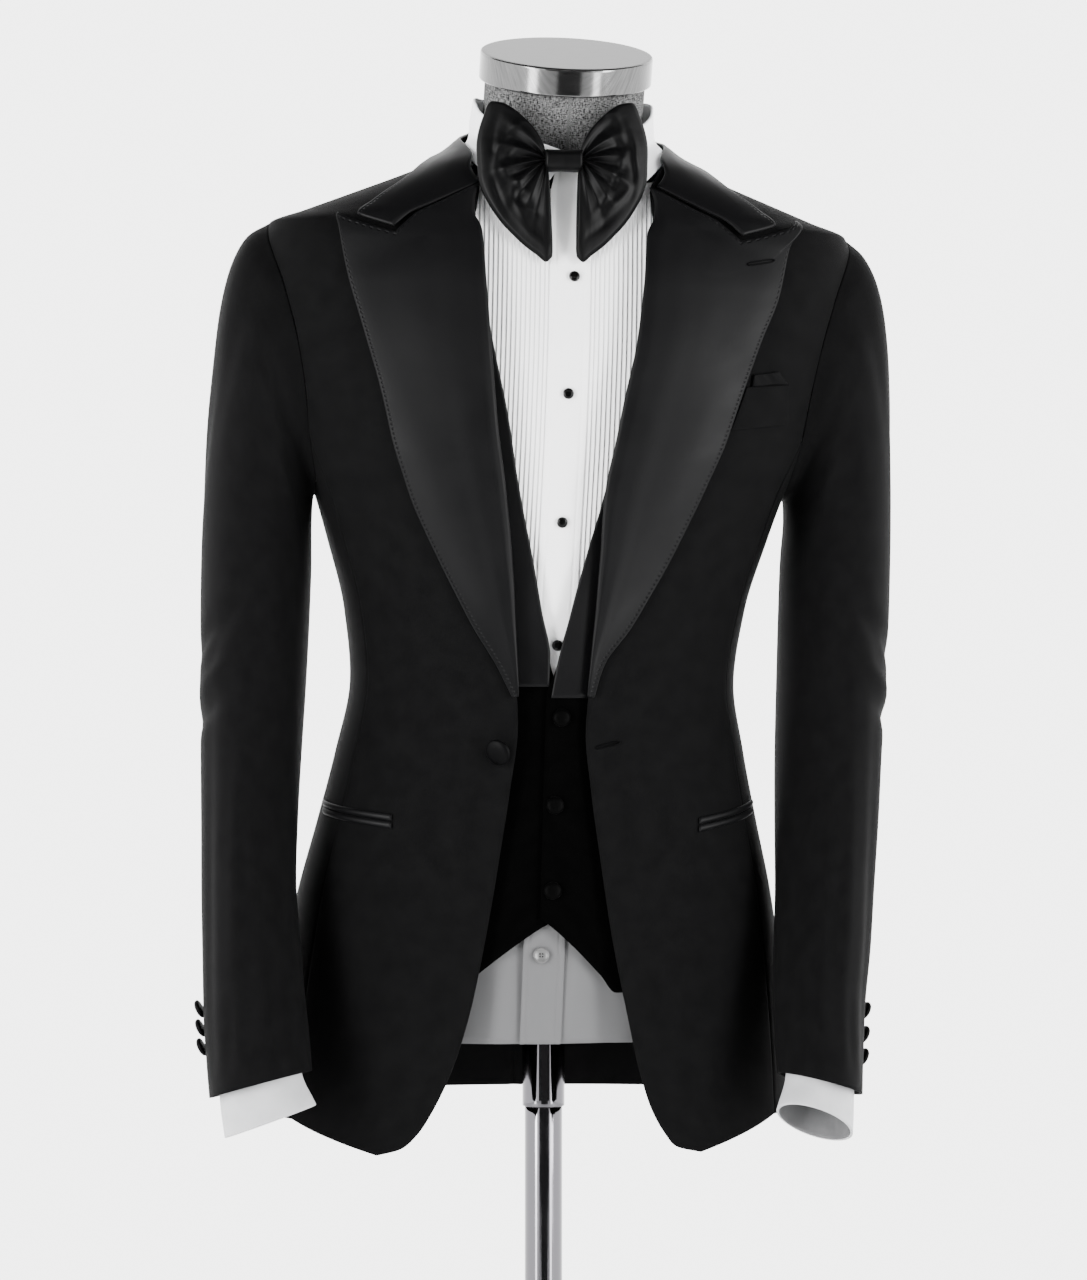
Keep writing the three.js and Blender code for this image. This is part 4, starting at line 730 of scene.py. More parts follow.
def arm_rings(arm, side, body, hole, off, shrink, angle, rows, last=15):
    """Rings down a sleeve; the first lies on the armhole of its body, and its difference from a
    plain oval fades out down the arm."""
    table = np.c_[np.arange(16), np.asarray(ARMS[arm]), np.asarray(SLEEVE_SHAPE)]
    place = np.linspace(0, last, rows)
    read = smooth(table, place)
    plain = arm_ring(read[:, :7], shrink, 0, angle)
    seam = hole_point(hole, angle)
    seam = body.at(side * seam[:, 0], seam[:, 1], off)
    share = read[:, 7][:, None, None]
    return plain + (seam - plain[0]) * share


def lining(rings, wall):
    """The inside of a sleeve: each ring drawn in towards its own middle by the wall."""
    middle = rings.mean(axis=1, keepdims=True)
    return rings + unit(middle - rings) * wall


# The two seams of a sleeve lie halfway between the pitch marks of the armhole
INNER_SEAM, BACK_SEAM = (FRONT_PITCH + BACK_PITCH) / 2, (BACK_PITCH + 360) / 2
SLEEVE_DEPTH = 1.4
for name, side in SIDES.items():
    first, seam = BACK_SEAM - 360, INNER_SEAM
    around = {"top": np.linspace(first, seam, 58), "under": np.linspace(seam, first + 360, 44)}
    whole = np.linspace(0, 360, 96, endpoint=False)
    for half, angle in around.items():
        rings = arm_rings(name, side, coat, ARMHOLE, 0, 1, angle, 150)
        middle = arm_rings(name, side, coat, ARMHOLE, 0, 1, whole, 150).mean(axis=1, keepdims=True)
        outwards = unit(rings - middle)
        fold = creases(angle[None, :] + 0 * rings[..., 2], rings[..., 2], SLEEVE_CREASES[name])
        fade = ramp(np.arange(150), 3, 22)[:, None] * ramp(150 - np.arange(150), 1, 12)[:, None]
        rings = rings + outwards * (SLEEVE_DEPTH * fold * fade)[..., None]
        inner = rings - outwards * 2
        ease = {"start": 0.3, "end": 0.3, "foot": 0.15}
        shell(f"sleeve_{name}_{half}_cloth", drawn_in(rings, **ease), drawn_in(inner, **ease),
              "wool", [f"sleeve_{name}_{half}"])
print("sleeves made")

# %% [markdown]
# The lapels turn back from the front edge and are faced with satin. The roll stands a little
# proud and the outer edge lies close. Collar and lapel meet at the gorge, a line that runs from
# the roll by way of the notch; its picks of stitching follow the edge.

# %% Lapels and collar
LAPEL_ROWS = [
    [1134, 31, 1133, 30, 1133], [1160, 43.5, 1157, 37, 1158], [1195, 65, 1191, 57.5, 1188],
    [1240, 90, 1237, 82, 1234], [1290, 114, 1287, 105, 1286], [1345, 134, 1350, 128, 1348],
    [1398, 150, 1402, 146, 1402], [1438, 162, 1440, 158.5, 1433], [1478, 170.5, 1478, 168, 1474],
    [1517, 172, 1492.5, 175, 1496],
]
LAPEL_LIFT = [[0, 3.8], [0.08, 5.4], [0.2, 5.4], [0.4, 4.6], [0.6, 4], [0.8, 3.7], [1, 3.5]]
NOTCH, NOTCH_SHARE = (30.4, 1478.2), 0.6
COLLAR_ROWS = [
    [22.8, 1518.8, 41.7, 1491, 1], [33, 1529, 46, 1504, 0.5], [45, 1540, 51, 1517.5, 0.12],
    [62, 1549, 61, 1529, 0], [76, 1554.5, 72, 1536, 0], [90, 1558.5, 87, 1540, 0],
    [105, 1563, 102, 1541, 0], [120, 1568.5, 119, 1540, 0], [135, 1574, 135, 1539, 0],
    [150, 1578.5, 150, 1537.5, 0], [165, 1582, 165, 1536.5, 0], [180, 1582.5, 180, 1536, 0],
]
COLLAR_LIFT = [[0, 3.6], [0.3, 5.4], [0.6, 5.8], [0.8, 5.6], [1, 5.3]]
COLLAR_NOTCH = (31.1, 1482)
LAPEL_CREASES = {
    "right": [[100, 1300, 24, 90, 16, 0.8], [70, 1210, 28, 60, 10, -0.7],
              [130, 1400, 14, 70, 18, -0.7]],
    "left": [[92, 1310, 22, 90, 16, 0.8], [62, 1205, 28, 60, 10, -0.7],
             [125, 1410, 12, 70, 18, -0.7]],
}


def notched(start, notch, end, share):
    """A line from start straight to the notch and straight on to end, by share."""
    start, notch, end = (np.asarray(p, float) for p in (start, notch, end))
    low = np.clip(share / NOTCH_SHARE, 0, 1)[:, None]
    high = np.clip((share - NOTCH_SHARE) / (1 - NOTCH_SHARE), 0, 1)[:, None]
    return start + (notch - start) * low + (end - notch) * high


def hem_lengths(outer, last_edge=True):
    """For each point the distance from the nearer of the outer edge and the top edge, and the
    length along the edge."""
    across, up = way(outer, 1), way(outer, 0)
    wide = np.linalg.norm(np.diff(outer, axis=1), axis=-1)
    in_from_edge = np.c_[np.cumsum(wide[:, ::-1], axis=1)[:, ::-1], np.zeros(len(outer))]
    if not last_edge:
        return np.stack([in_from_edge, np.repeat(up[:, None], outer.shape[1], 1)], -1)
    tall = np.linalg.norm(np.diff(outer, axis=0), axis=-1)
    from_top = np.r_[np.cumsum(tall[::-1], axis=0)[::-1], np.zeros((1, outer.shape[1]))]
    near = np.minimum(in_from_edge, from_top)
    along = np.where(in_from_edge < from_top, up[:, None], across[None, :] + 7.3)
    return np.stack([near, along], -1)


front_edge = lambda z, column: smooth([row[:3] for row in FRONT_EDGE], z)[..., column - 1]
for name, side in SIDES.items():
    column, out = (1, (1, 2)) if side < 0 else (2, (3, 4))
    rows = np.array(LAPEL_ROWS, float)
    roll = np.c_[coat.angle(front_edge(rows[:, 0], column) - 1.5, rows[:, 0]), rows[:, 0]]
    tip = np.c_[coat.angle(rows[:, out[0]], rows[:, out[1]]), rows[:, out[1]]]
    share = np.linspace(0, 1, 46)
    head = np.c_[notched(roll[-1], NOTCH, tip[-1], share), share]
    a, z = panel(coat, roll, tip, 150, 0, head=head, reach=3, across=share)
    grow = np.clip(np.linspace(0, 9, 150) / 3, 0, 1)[:, None]
    lift = 3.5 + (smooth(LAPEL_LIFT, share)[:, 0][None, :] - 3.5) * grow
    x = coat.ring(np.radians(a), z)[..., 0]
    lift = lift + creases(x, z, LAPEL_CREASES[name])
    outer, inner = coat.at(side * a, z, lift), coat.at(side * a, z, lift - 1.9)
    shell(f"lapel_{name}_cloth", outer, inner, "lapel_satin", [f"lapel_{name}"],
          hem=hem_lengths(outer))

rows = finer(COLLAR_ROWS, 90)
share = np.sort(np.r_[np.linspace(0, 1, 24), NOTCH_SHARE])
end = notched(rows[0, :2], COLLAR_NOTCH, rows[0, 2:4], share)
plain = rows[0, :2] + (rows[0, 2:4] - rows[0, :2]) * share[:, None]
half = (rows[:, None, :2] + (rows[:, None, 2:4] - rows[:, None, :2]) * share[:, None]
        + rows[:, None, 4:5] * (end - plain))
mirror = half[-2::-1].copy()
mirror[..., 0] = 360 - mirror[..., 0]
whole = np.concatenate([half, mirror])
lift = smooth(COLLAR_LIFT, share)[:, 0] + 0 * whole[..., 0]
outer = coat.at(whole[..., 0], whole[..., 1], lift)
shell("jacket_collar_cloth", outer, coat.at(whole[..., 0], whole[..., 1], lift - 2.2),
      "lapel_satin", ["jacket_collar"], hem=hem_lengths(outer, False))
print("lapels and collar made")

# %% [markdown]
# Pockets, welt and buttons lie on the front and take their places from the same distances and
# heights as the cloth under them. A covered button is a low dome with a rolled edge.

# %% Pockets and buttons
POCKETS = {"right": [116.8, 1040, 164.4, 1049], "left": [115, 1036.5, 161, 1048.5]}
WELT = [[124.8, 1335], [171, 1341.5], [170, 1371], [136, 1367.5]]
KERCHIEF = [[140.5, 1368.5], [169, 1371.6], [162, 1380.6], [141.5, 1377]]
DOME = [[0.80, 0], [0.96, 0.5], [1, 1.3], [0.97, 2.3], [0.86, 3.3], [0.66, 4.0], [0.45, 4.3],
        [0.2, 4.45]]
ARM_BUTTONS = {"right": [12.87, 13.23, 13.62], "left": [12.9, 13.37, 13.83]}


def patch(body, side, corners, outer, inner, cols, rows, swell=None):
    """Four corners given by distance from the middle and height, mixed both ways."""
    a, b, c, d = (np.array([float(body.angle(x, z)), z]) for x, z in corners)
    u, v = np.meshgrid(np.linspace(0, 1, cols), np.linspace(0, 1, rows))
    u, v = u[..., None], v[..., None]
    grid = (a + (b - a) * u) * (1 - v) + (d + (c - d) * u) * v
    off = outer + (swell(u[..., 0], v[..., 0]) if swell else 0) + 0 * grid[..., 0]
    return (body.at(side * grid[..., 0], grid[..., 1], off),
            body.at(side * grid[..., 0], grid[..., 1], inner + 0 * off))


def facing(body, distance, height, off):
    """Point and outward direction of a worn surface, by distance from the middle and height."""
    angle = float(body.angle(distance, height))
    point = body.at(angle, height, off)
    return point, unit(body.at(angle, height, off + 1) - point)


def dome(name, centre, face, radius, node_name, stuff="button_cloth"):
    """A covered button on a centre, looking along a face direction."""
    return turned(name, centre, face, [[r * radius, h] for r, h in DOME], stuff, [node_name])


for name, side in SIDES.items():
    in_x, in_z, out_x, out_z = POCKETS[name]
    for place, shift in (("upper", 2.9), ("lower", -2.9)):
        corners = [[in_x, in_z + shift - 2.4], [out_x, out_z + shift - 2.4],
                   [out_x, out_z + shift + 2.4], [in_x, in_z + shift + 2.4]]
        shell(f"pocket_jet_{name}_{place}_cloth",
              *patch(coat, side, corners, 1.5, 0.8, 60, 9, lambda u, v: 0.9 * np.sin(np.pi * v)),
              "satin", [f"pocket_jet_{name}_{place}"])
    for i, place in enumerate(ARM_BUTTONS[name]):
        row = int(place)
        spots = [arm_ring([*ARMS[name][k], *SLEEVE_SHAPE[k][:3]], 1, -1.8, np.array([-14.0]))[0]
                 for k in (row, row + 1)]
        spot = spots[0] + (spots[1] - spots[0]) * (place - row)
        face = [side * np.cos(np.radians(-14)), -np.sin(np.radians(-14)), -0.5]
        dome(f"cuff_button_{name}_{i + 1}_cover", spot, face, 7.2, f"cuff_button_{name}_{i + 1}")
shell("breast_welt_cloth", *patch(coat, 1, WELT, 2.2, 0.8, 50, 30,
      lambda u, v: 0.5 * np.sin(np.pi * v) ** 0.5 * np.sin(np.pi * u) ** 0.5), "wool",
      ["breast_welt"])
shell("pocket_square_cloth", *patch(coat, 1, KERCHIEF, 2.0, 0.8, 40, 12,
      lambda u, v: 0.7 * np.sin(u * 9.0 + v * 1.5)), "silk", ["pocket_square"])
spot, _ = facing(coat, -39.7, 1092.3, 5.3)


def stitching(name, ends, off, nodes, points=48, sides=8, half_width=1.1, radius=0.55):
    """Buttonhole stitching: a round thread bundle carried along a long loop on the coat. The
    loop is a squared oval: length times the cosine to the power 0.35, width times the sine."""
    turn = np.linspace(0, 2 * np.pi, points, endpoint=False)
    (x0, z0), (x1, z1) = ends
    go = np.array([x1 - x0, z1 - z0])
    go, reach = go / np.hypot(*go), np.hypot(*go) / 2
    along = np.sign(np.cos(turn)) * np.abs(np.cos(turn)) ** 0.35 * reach
    aside = np.sin(turn) * half_width
    x = (x0 + x1) / 2 + go[0] * along - go[1] * aside
    z = (z0 + z1) / 2 + go[1] * along + go[0] * aside
    line = coat.at(coat.angle(x, z), z, off)
    out = unit(coat.at(coat.angle(x, z), z, off + 1) - line)
    side = unit(np.cross(np.roll(line, -1, 0) - np.roll(line, 1, 0), out))
    round_it = np.linspace(0, 2 * np.pi, sides, endpoint=False)
    c, s = np.cos(round_it)[:, None], np.sin(round_it)[:, None]
    rings = line[:, None] + radius * (out[:, None] * c + side[:, None] * s)
    ids = np.arange(points * sides).reshape(points, sides)
    ids = np.c_[ids, ids[:, 0]]
    faces = quads(np.r_[ids, ids[:1]])
    uv = np.stack(np.meshgrid(np.arange(sides) * np.pi * 2 * radius / sides,
                              np.arange(points) * reach * 4 / points), -1)
    rings = rings.reshape(-1, 3)
    make(name, rings, outward(rings, faces), uv.reshape(-1, 2), "silk", nodes)


stitching("buttonhole_front_stitching", [[33.1, 1095.1], [51.3, 1099.5]], 0.35,
          ["jacket_front_left"])
stitching("buttonhole_lapel_stitching", [[134.8, 1460.3], [155.5, 1464.5]], 4.1, ["lapel_left"])
dome("jacket_button_cover", spot, [-0.55, -0.76, -0.34], 10.4, "jacket_button")
print("pockets and buttons made")

# %% [markdown]
# The waistcoat is cut like the jacket's body but lies on the torso: two fronts that end in
# points, the wearer's left lapping over the right, and a back. Satin bands follow the V.

# %% Waistcoat
WAISTCOAT_EDGE = [
    [1150, 0.5], [1180, 7.4], [1236, 19.5], [1295, 33.5], [1350, 44.5], [1400, 56.5],
    [1450, 66], [1490, 75], [1512, 86],
]
CLOSURE = [967, 1000, 1045, 1090, 1131]
LAP = {"right": -8, "left": -4.5}
POINT = {"right": [60, 917], "left": [54, 912]}
WAISTCOAT_HOLE = (1388, 118, 30, 30)
FRONT_SHARES = [0, 0.06, 0.1, 0.16, 0.24, 0.4, 0.55, 0.7, 0.85, 1]
BAND_WIDTH = 34
BAND_END = {"right": [1141, 3], "left": [1132.5, -1.5]}
WAISTCOAT_CREASES = [[60, 1080, 70, 50, 8, -0.8], [40, 1060, 80, 40, 7, 0.6],
                     [70, 1000, 60, 50, 9, -0.8], [30, 960, 20, 40, 8, 0.6],
                     [50, 935, 40, 30, 7, -0.6], [90, 1250, 20, 60, 10, -0.8]]


def waistcoat_off(angle, height, name):
    """8.5 mm off the torso, 7.6 at the neck, and 3 mm more where the left front laps over."""
    lap = 3 * (1 - straight(angle, 6, 12)) if name == "left" else 0
    return 8.5 - 0.9 * straight(height, 1490, 1530) + lap


side_seam = [[90, z] for z in np.linspace(936, 1270, 9)]
for name, side in SIDES.items():
    closure = [[float(torso.angle(LAP[name], z)), z] for z in CLOSURE]
    neckline = [[float(torso.angle(x, z)), z] for z, x in WAISTCOAT_EDGE]
    arm = hole_run(WAISTCOAT_HOLE, 180, 0, 6)[1:]
    point = np.array([float(torso.angle(*POINT[name])), POINT[name][1]])
    shares = np.array(FRONT_SHARES)
    hem = []
    for j, s in enumerate(shares):
        t = j / 4 if j <= 4 else (s - shares[4]) / (1 - shares[4])
        a, b = (closure[0], point) if j <= 4 else (point, side_seam[0])
        hem.append([a[0] + (b[0] - a[0]) * t, a[1] + (b[1] - a[1]) * t, s])
    share = np.sort(np.r_[np.linspace(0, 0.24, 22), np.linspace(0.24, 1, 44)[1:]])
    a, z = panel(torso, [*closure, *neckline, [90, 1524]], [*side_seam, *arm], 170, 0,
                 foot=hem, reach=4, across=share)
    x = torso.ring(np.radians(a), z)[..., 0]
    off = waistcoat_off(a, z, name) + creases(np.abs(x), z, WAISTCOAT_CREASES) * ramp(a, 6, 20)
    shell(f"waistcoat_front_{name}_cloth", *laid(torso, side, a, z, off, 2,
          {"end": 0.15, "head": 0.15}), "waistcoat_cloth", [f"waistcoat_front_{name}"])
    end_z, end_x = BAND_END[name]
    heights = np.linspace(end_z, 1485, 110)
    inner_x = smooth([[end_z, end_x], *[[z, smooth(WAISTCOAT_EDGE, z)[0] - 0.6] for z in
                     (1165, 1195, 1236, 1295, 1350, 1400, 1450, 1485)]], heights)[:, 0]
    xs = inner_x[:, None] + BAND_WIDTH * np.linspace(0, 1, 20)
    zs = np.repeat(heights[:, None], 20, 1)
    a = torso.angle(xs, zs)
    off = waistcoat_off(a, zs, name) + 2.5
    shell(f"waistcoat_lapel_{name}_cloth", torso.at(side * a, zs, off),
          torso.at(side * a, zs, off - 1.4), "satin", [f"waistcoat_lapel_{name}"])

span = [*side_seam, *hole_run(WAISTCOAT_HOLE, 180, 360, 6)[1:]]
mirror = lambda line: [[360 - a, z] for a, z in line]
nape = [[90, 1506], [90, 1515], [90, 1524], [120, 1523.5], [150, 1523], [180, 1523]]
a, z = panel(torso, span, mirror(span), 120, 90, reach=6,
             head=[*nape, *mirror(nape[:-1])[::-1]])
off = waistcoat_off(90, z, "") + 1 + 0 * a
shell("waistcoat_back_cloth", *laid(torso, 1, a, z, off, 2,
      {"start": 0.15, "end": 0.15, "head": 0.15}), "waistcoat_cloth", ["waistcoat_back"])
for i, (x, z) in enumerate([[6.7, 1117.5], [3.9, 1051], [3.7, 987.5]]):
    spot, face = facing(torso, x, z, 8.5 + 3 + 0.3)
    dome(f"waistcoat_button_{i + 1}_cover", spot, face, 6.75, f"waistcoat_button_{i + 1}",
         "dark_button")
print("waistcoat made")

# %% [markdown]
# The shirt front is plain cloth with a bib of stitched tucks on each half and a placket down the
# middle. A tuck is a fold pressed to one side: its face rises slowly and drops at the stitching.

# %% Shirt body
SHIRT_SEAM = [874, 930, 990, 1045, 1100, 1150, 1200, 1250, 1300]
SHIRT_CHEST = [1340, 1385, 1430, 1475, 1512]
SHIRT_HOLE = (1388, 88, 20, 20)
TUCKS, TUCK_PITCH = 16, 3.5
SHIRT_CREASES = {
    "right": [[18, 1190, 70, 22, 4, -1.0], [30, 1215, 55, 26, 4, 0.8], [22, 1240, 48, 24, 4, -0.8],
              [12, 915, 12, 60, 7, -1.6], [34, 905, 4, 60, 8, 1.4], [60, 900, -6, 60, 9, -1.4]],
    "left": [[16, 1195, 66, 22, 4, -1.0], [26, 1222, 52, 26, 4, 0.8], [34, 1245, 44, 24, 4, -0.8],
             [22, 915, 8, 60, 8, 1.4], [46, 905, -4, 60, 8, -1.6], [70, 900, 6, 60, 9, 1.2]],
}


def middle(z):
    """The shirt's middle drifts a little across as it goes down."""
    return 1.5 + 0.0045 * (np.asarray(z, float) - 1400)


def shirt_off(turn, height):
    """2 mm off the torso, less under the bib and round the neck."""
    neck = straight(height, 1478, 1505) * (1 - 0.4 * straight(turn, 80, 100))
    bib = (1 - straight(turn, 30, 42)) * straight(height, 1050, 1100)
    return 2 - 2.7 * np.maximum(neck, bib)


seam = [[90, z] for z in SHIRT_SEAM]
for name, side in SIDES.items():
    centre = [[float(torso.angle(side * middle(z) + 0.15, z)), z]
              for z in [*SHIRT_SEAM, *SHIRT_CHEST]]
    arm = hole_run(SHIRT_HOLE, 180, 0, 7)[1:]
    a, z = panel(torso, [*centre, [40, 1527], [90, 1545]], [*seam, *arm], 150, 60)
    x = torso.ring(np.radians(a), z)[..., 0]
    fold = creases(x, z, SHIRT_CREASES[name]) * (z < 1100)
    shell(f"shirt_front_{name}_cloth", *laid(torso, side, a, z, shirt_off(a, z) + fold, 1.2,
          {"end": 0.15, "head": 0.15}), "body_cotton", [f"shirt_front_{name}"])

    per = 8
    u = np.linspace(0, TUCKS, TUCKS * per + 1)
    x = 15.7 + u * TUCK_PITCH
    share = u - np.floor(u)
    rise = np.where(share < 0.8, 1.25 * share, (1 - share) * 5) * 1.2
    zs = np.linspace(1110, 1512, 130)
    xs = np.repeat(x[None, :], len(zs), 0)
    zz = np.repeat(zs[:, None], len(x), 1)
    fold = creases(xs, zz, SHIRT_CREASES[name])
    off = 3.3 + rise[None, :] + fold
    a = torso.angle(xs + side * middle(zz), zz)
    shell(f"shirt_bib_{name}_cloth", torso.at(side * a, zz, off),
          torso.at(side * a, zz, 2.4 + 0 * off), "tucked_cotton_painted_shade", [f"shirt_bib_{name}"],
          hem=np.stack([np.repeat(u[None, :], len(zs), 0) * 1000, zz], -1))

span = [*seam, *hole_run(SHIRT_HOLE, 180, 360, 7)[1:]]
nape = [[90, 1476], [90, 1510], [90, 1545], [120, 1546], [150, 1547], [180, 1547]]
a, z = panel(torso, span, mirror(span), 130, 90, reach=6,
             head=[*nape, *mirror(nape[:-1])[::-1]])
shell("shirt_back_cloth", *laid(torso, 1, a, z, shirt_off(np.minimum(a, 360 - a), z), 1.2,
      {"start": 0.15, "end": 0.15, "head": 0.15}), "body_cotton", ["shirt_back"])

PLACKET_CREASES = [[4, 1195, 80, 14, 5, -0.5], [-5, 905, 10, 40, 4, -0.7],
                   [7, 900, -8, 45, 4, 0.6]]
zs = np.linspace(874, 1530, 206)
u = np.linspace(-1, 1, 40)
half_width = 15.3 - 3.5 * straight(zs, 1512, 1530)[:, None]
xs = middle(zs)[:, None] + half_width * u
zz = np.repeat(zs[:, None], len(u), 1)
groove = 0.45 * np.exp(-((np.abs(u) - 0.72) / 0.05) ** 2)
off = 4.6 - groove[None, :] + creases(xs, zz, PLACKET_CREASES)
shell("shirt_placket_cloth", torso.at(torso.angle(xs, zz), zz, off),
      torso.at(torso.angle(xs, zz), zz, 3 + 0 * off), "body_cotton", ["shirt_placket"])
for i, (x, z) in enumerate([[4.7, 1447.3], [2, 1360], [1.7, 1265], [2.3, 1172.3]]):
    spot, face = facing(torso, x, z, 5.2)
    profile = [[3.5, 0], [4.2, 0.5], [4.2, 1.2], [3.9, 1.5], [3.7, 1.5], [3.6, 1.3], [3.3, 1.9],
               [2.4, 2.2], [1, 2.3]]
    stud = turned(f"shirt_stud_{i + 1}_face", spot, face, profile, "black_face",
                  [f"shirt_stud_{i + 1}"], 40)
    stud.data.materials.append(STUFF["stud_rim"][0])
    centre = np.array([list(p.center) for p in stud.data.polygons]) / MM
    away = np.linalg.norm(np.cross(centre - spot, face), axis=1)
    stud.data.polygons.foreach_set("material_index", (away > 3.62).astype(int))
spot, face = facing(torso, -2.7, 940, 5.2)
turned("shirt_button_disc", spot, face, [[5.2, 0], [6, 0.5], [6, 1.5], [5.5, 2], [4.6, 1.9],
       [3.8, 1.1], [1, 1.0]], "pearl_painted_shade", ["shirt_button"], 40)
right = unit(np.cross([0, 0, 1], face))
for i, (across, up) in enumerate([(-1, -1), (1, -1), (-1, 1), (1, 1)]):
    hole = spot + right * across + np.cross(face, right) * up + face * 0.95
    turned(f"shirt_button_hole_{i + 1}", hole, face, [[0.5, 0], [0.55, 0.1], [0.5, 0.2]],
           "black_face", ["shirt_button"], 12)
print("shirt body made")

# %% [markdown]
# The shirt's sleeves run inside the jacket's, at three quarters of their size. A cuff follows the
# same sections and widens to its own end, set so that it shows as much linen below the sleeve as
# the photograph does. Its inside is made darker, since little light gets back out of a sleeve.

# %% Shirt sleeves and cuffs
for name, side in SIDES.items():
    angle = np.linspace(0, 360, 84, endpoint=False)
    rings = arm_rings(name, side, torso, SHIRT_HOLE, 2, 0.75, angle, 90, 13)
    outer = drawn_in(rings, foot=0.15, head=0.15)
    shell(f"shirt_sleeve_{name}_cloth", outer, drawn_in(lining(rings, 1.2), foot=0.15, head=0.15),
          "cotton", [f"shirt_sleeve_{name}"], closed=True)
    cuffs = [[*ARMS[name][k], *SLEEVE_SHAPE[k][:3]] for k in (13, 14, 15)] + [CUFF_END[name]]
    shrink = np.array([0.75, 0.775, 0.8, 1])[:, None]
    rows = finer(np.c_[np.array(cuffs), shrink], 46)
    fit = lambda wall: np.stack([arm_ring(row[:7], row[7], wall, angle) for row in rows])
    outer = drawn_in(fit(0), foot=0.15)
    cuff = shell(f"shirt_cuff_{name}_cloth", outer, drawn_in(fit(2), foot=0.15),
                 "cuff_cotton_painted_shade", [f"shirt_cuff_{name}"], closed=True)
    # The cuff's inside faces take the painted shade of the darker inside cotton
    cuff.data.materials.append(STUFF["cuff_inside_painted_shade"][0])
    half = (len(outer) - 1) * outer.shape[1]
    number = np.arange(len(cuff.data.polygons))
    cuff.data.polygons.foreach_set("material_index",
                                   ((number >= half) & (number < 2 * half)).astype(int))
print("sleeves of the shirt made")

# %% [markdown]
# The neck stands on its own tilted axis. Round it go the collar's stand, the turned-down leaf
# and the bow's band, each a ring by angle, height along the neck and radius.

# %% Neck, collar and band
TILT = np.radians(18)
LEAF_ROWS = [
    [5, 27, 8.8, 1492, 1], [14, 30, 13.5, 1505, 1], [35, 36, 28.6, 1522, 1],
    [62, 42.5, 47.8, 1534, 1], [76, 45.8, 68, 1541, 1], [92, 49, 92, 6, 0],
    [110, 46.5, 110, 4, 0], [128, 41, 128, 3, 0], [146, 38, 146, 2, 0],
    [163, 36, 163, 1.2, 0], [180, 35.5, 180, 1, 0],
]


def neck_point(angle, height, radius):
    """A point round the neck's axis, which tips forwards by 18 degrees."""
    angle, height, radius = np.broadcast_arrays(np.radians(angle), np.asarray(height, float),
                                                np.asarray(radius, float))
    forward = radius * np.cos(angle)
    return lean(np.stack([radius * np.sin(angle),
                          8 - forward * np.cos(TILT) - height * np.sin(TILT),
                          1541 - forward * np.sin(TILT) + height * np.cos(TILT)], -1))


def leaf(inward, side):
    """Top edge on the neck, a fold a little lower and further out, and the lower edge on the
    chest or on the neck; rows are then read again smoothly both ways."""
    lines = []
    for top_angle, top, edge_angle, edge, chest in LEAF_ROWS:
        first = neck_point(side * top_angle, top, 69.5 - inward)
        second = neck_point(side * (top_angle + (edge_angle - top_angle) * 0.3), top * 0.6,
                            71.3 - inward)
        last = (torso.at(side * edge_angle, edge, 7.4 - inward * 0.6) if chest
                else neck_point(side * edge_angle, edge, 71.5 - inward))
        lines.append([first, second, (second + last) / 2, last])
    return np.array(lines)


def reread(grid, rows, cols):
    """A small grid read again at more rows and columns."""
    grid = np.stack([finer(grid[:, j], rows) for j in range(grid.shape[1])], 1)
    return np.stack([finer(grid[i], cols) for i in range(rows)])


both = lambda inward: reread(np.concatenate([leaf(inward, 1), leaf(inward, -1)[-2::-1]]), 170, 26)
shell("shirt_collar_cloth", both(0), both(2), "cotton", ["shirt_collar"])


def neck_ring(name, outside, inside, front, back, stuff, node_name):
    """A closed band round the neck whose edges rise from the front to the nape."""
    angle = np.linspace(0, 360, 120, endpoint=False)
    behind = (1 - np.cos(np.radians(angle))) / 2
    share = np.linspace(0, 1, 10)[:, None]
    low, high = (front[k] + (back[k] - front[k]) * behind for k in (0, 1))
    heights = low + (high - low) * share
    shell(name, neck_point(angle[None, :], heights, outside + 0 * heights),
          neck_point(angle[None, :], heights, inside + 0 * heights), stuff, [node_name], True)


neck_ring("shirt_collar_stand_cloth", 64, 62.7, (14, 25.5), (12, 33), "cotton",
          "shirt_collar_stand")
neck_ring("bow_band_cloth", 66.2, 64.7, (12, 22), (17, 32), "bow_satin", "bow_band")

# %% [markdown]
# The butterfly bow is one length of satin drawn through its own knot, so folds fan out from the
# knot and die away towards the ends, and crumples lie across them. Each wing is a table of
# reaches by angle about the side of the knot; a fold is a bell across the fan that fades at its
# own reach, a crumple a longer bell laid at a tilt.

# %% Bow
WING_OUTLINE = [
    [127, 55.5], [133.5, 61], [144, 57.7], [161, 54.4], [182.5, 51.8], [197, 53], [219, 55],
    [243, 61.1], [256, 67.5], [264, 72.5], [269, 77], [272.5, 73.3],
]
WING_ROWS = [[0.07, 3.4, 24], [0.2, 5.2, 22], [0.42, 6, 16], [0.66, 5.4, 9], [0.86, 4.4, 4],
             [0.95, 3.4, 1.5], [1, 1.1, 0]]
KNOT = (6.9, -77.4, 1536.6, 12.2, 12.3, 8.4)
KNOT_SHOWN = 14.0
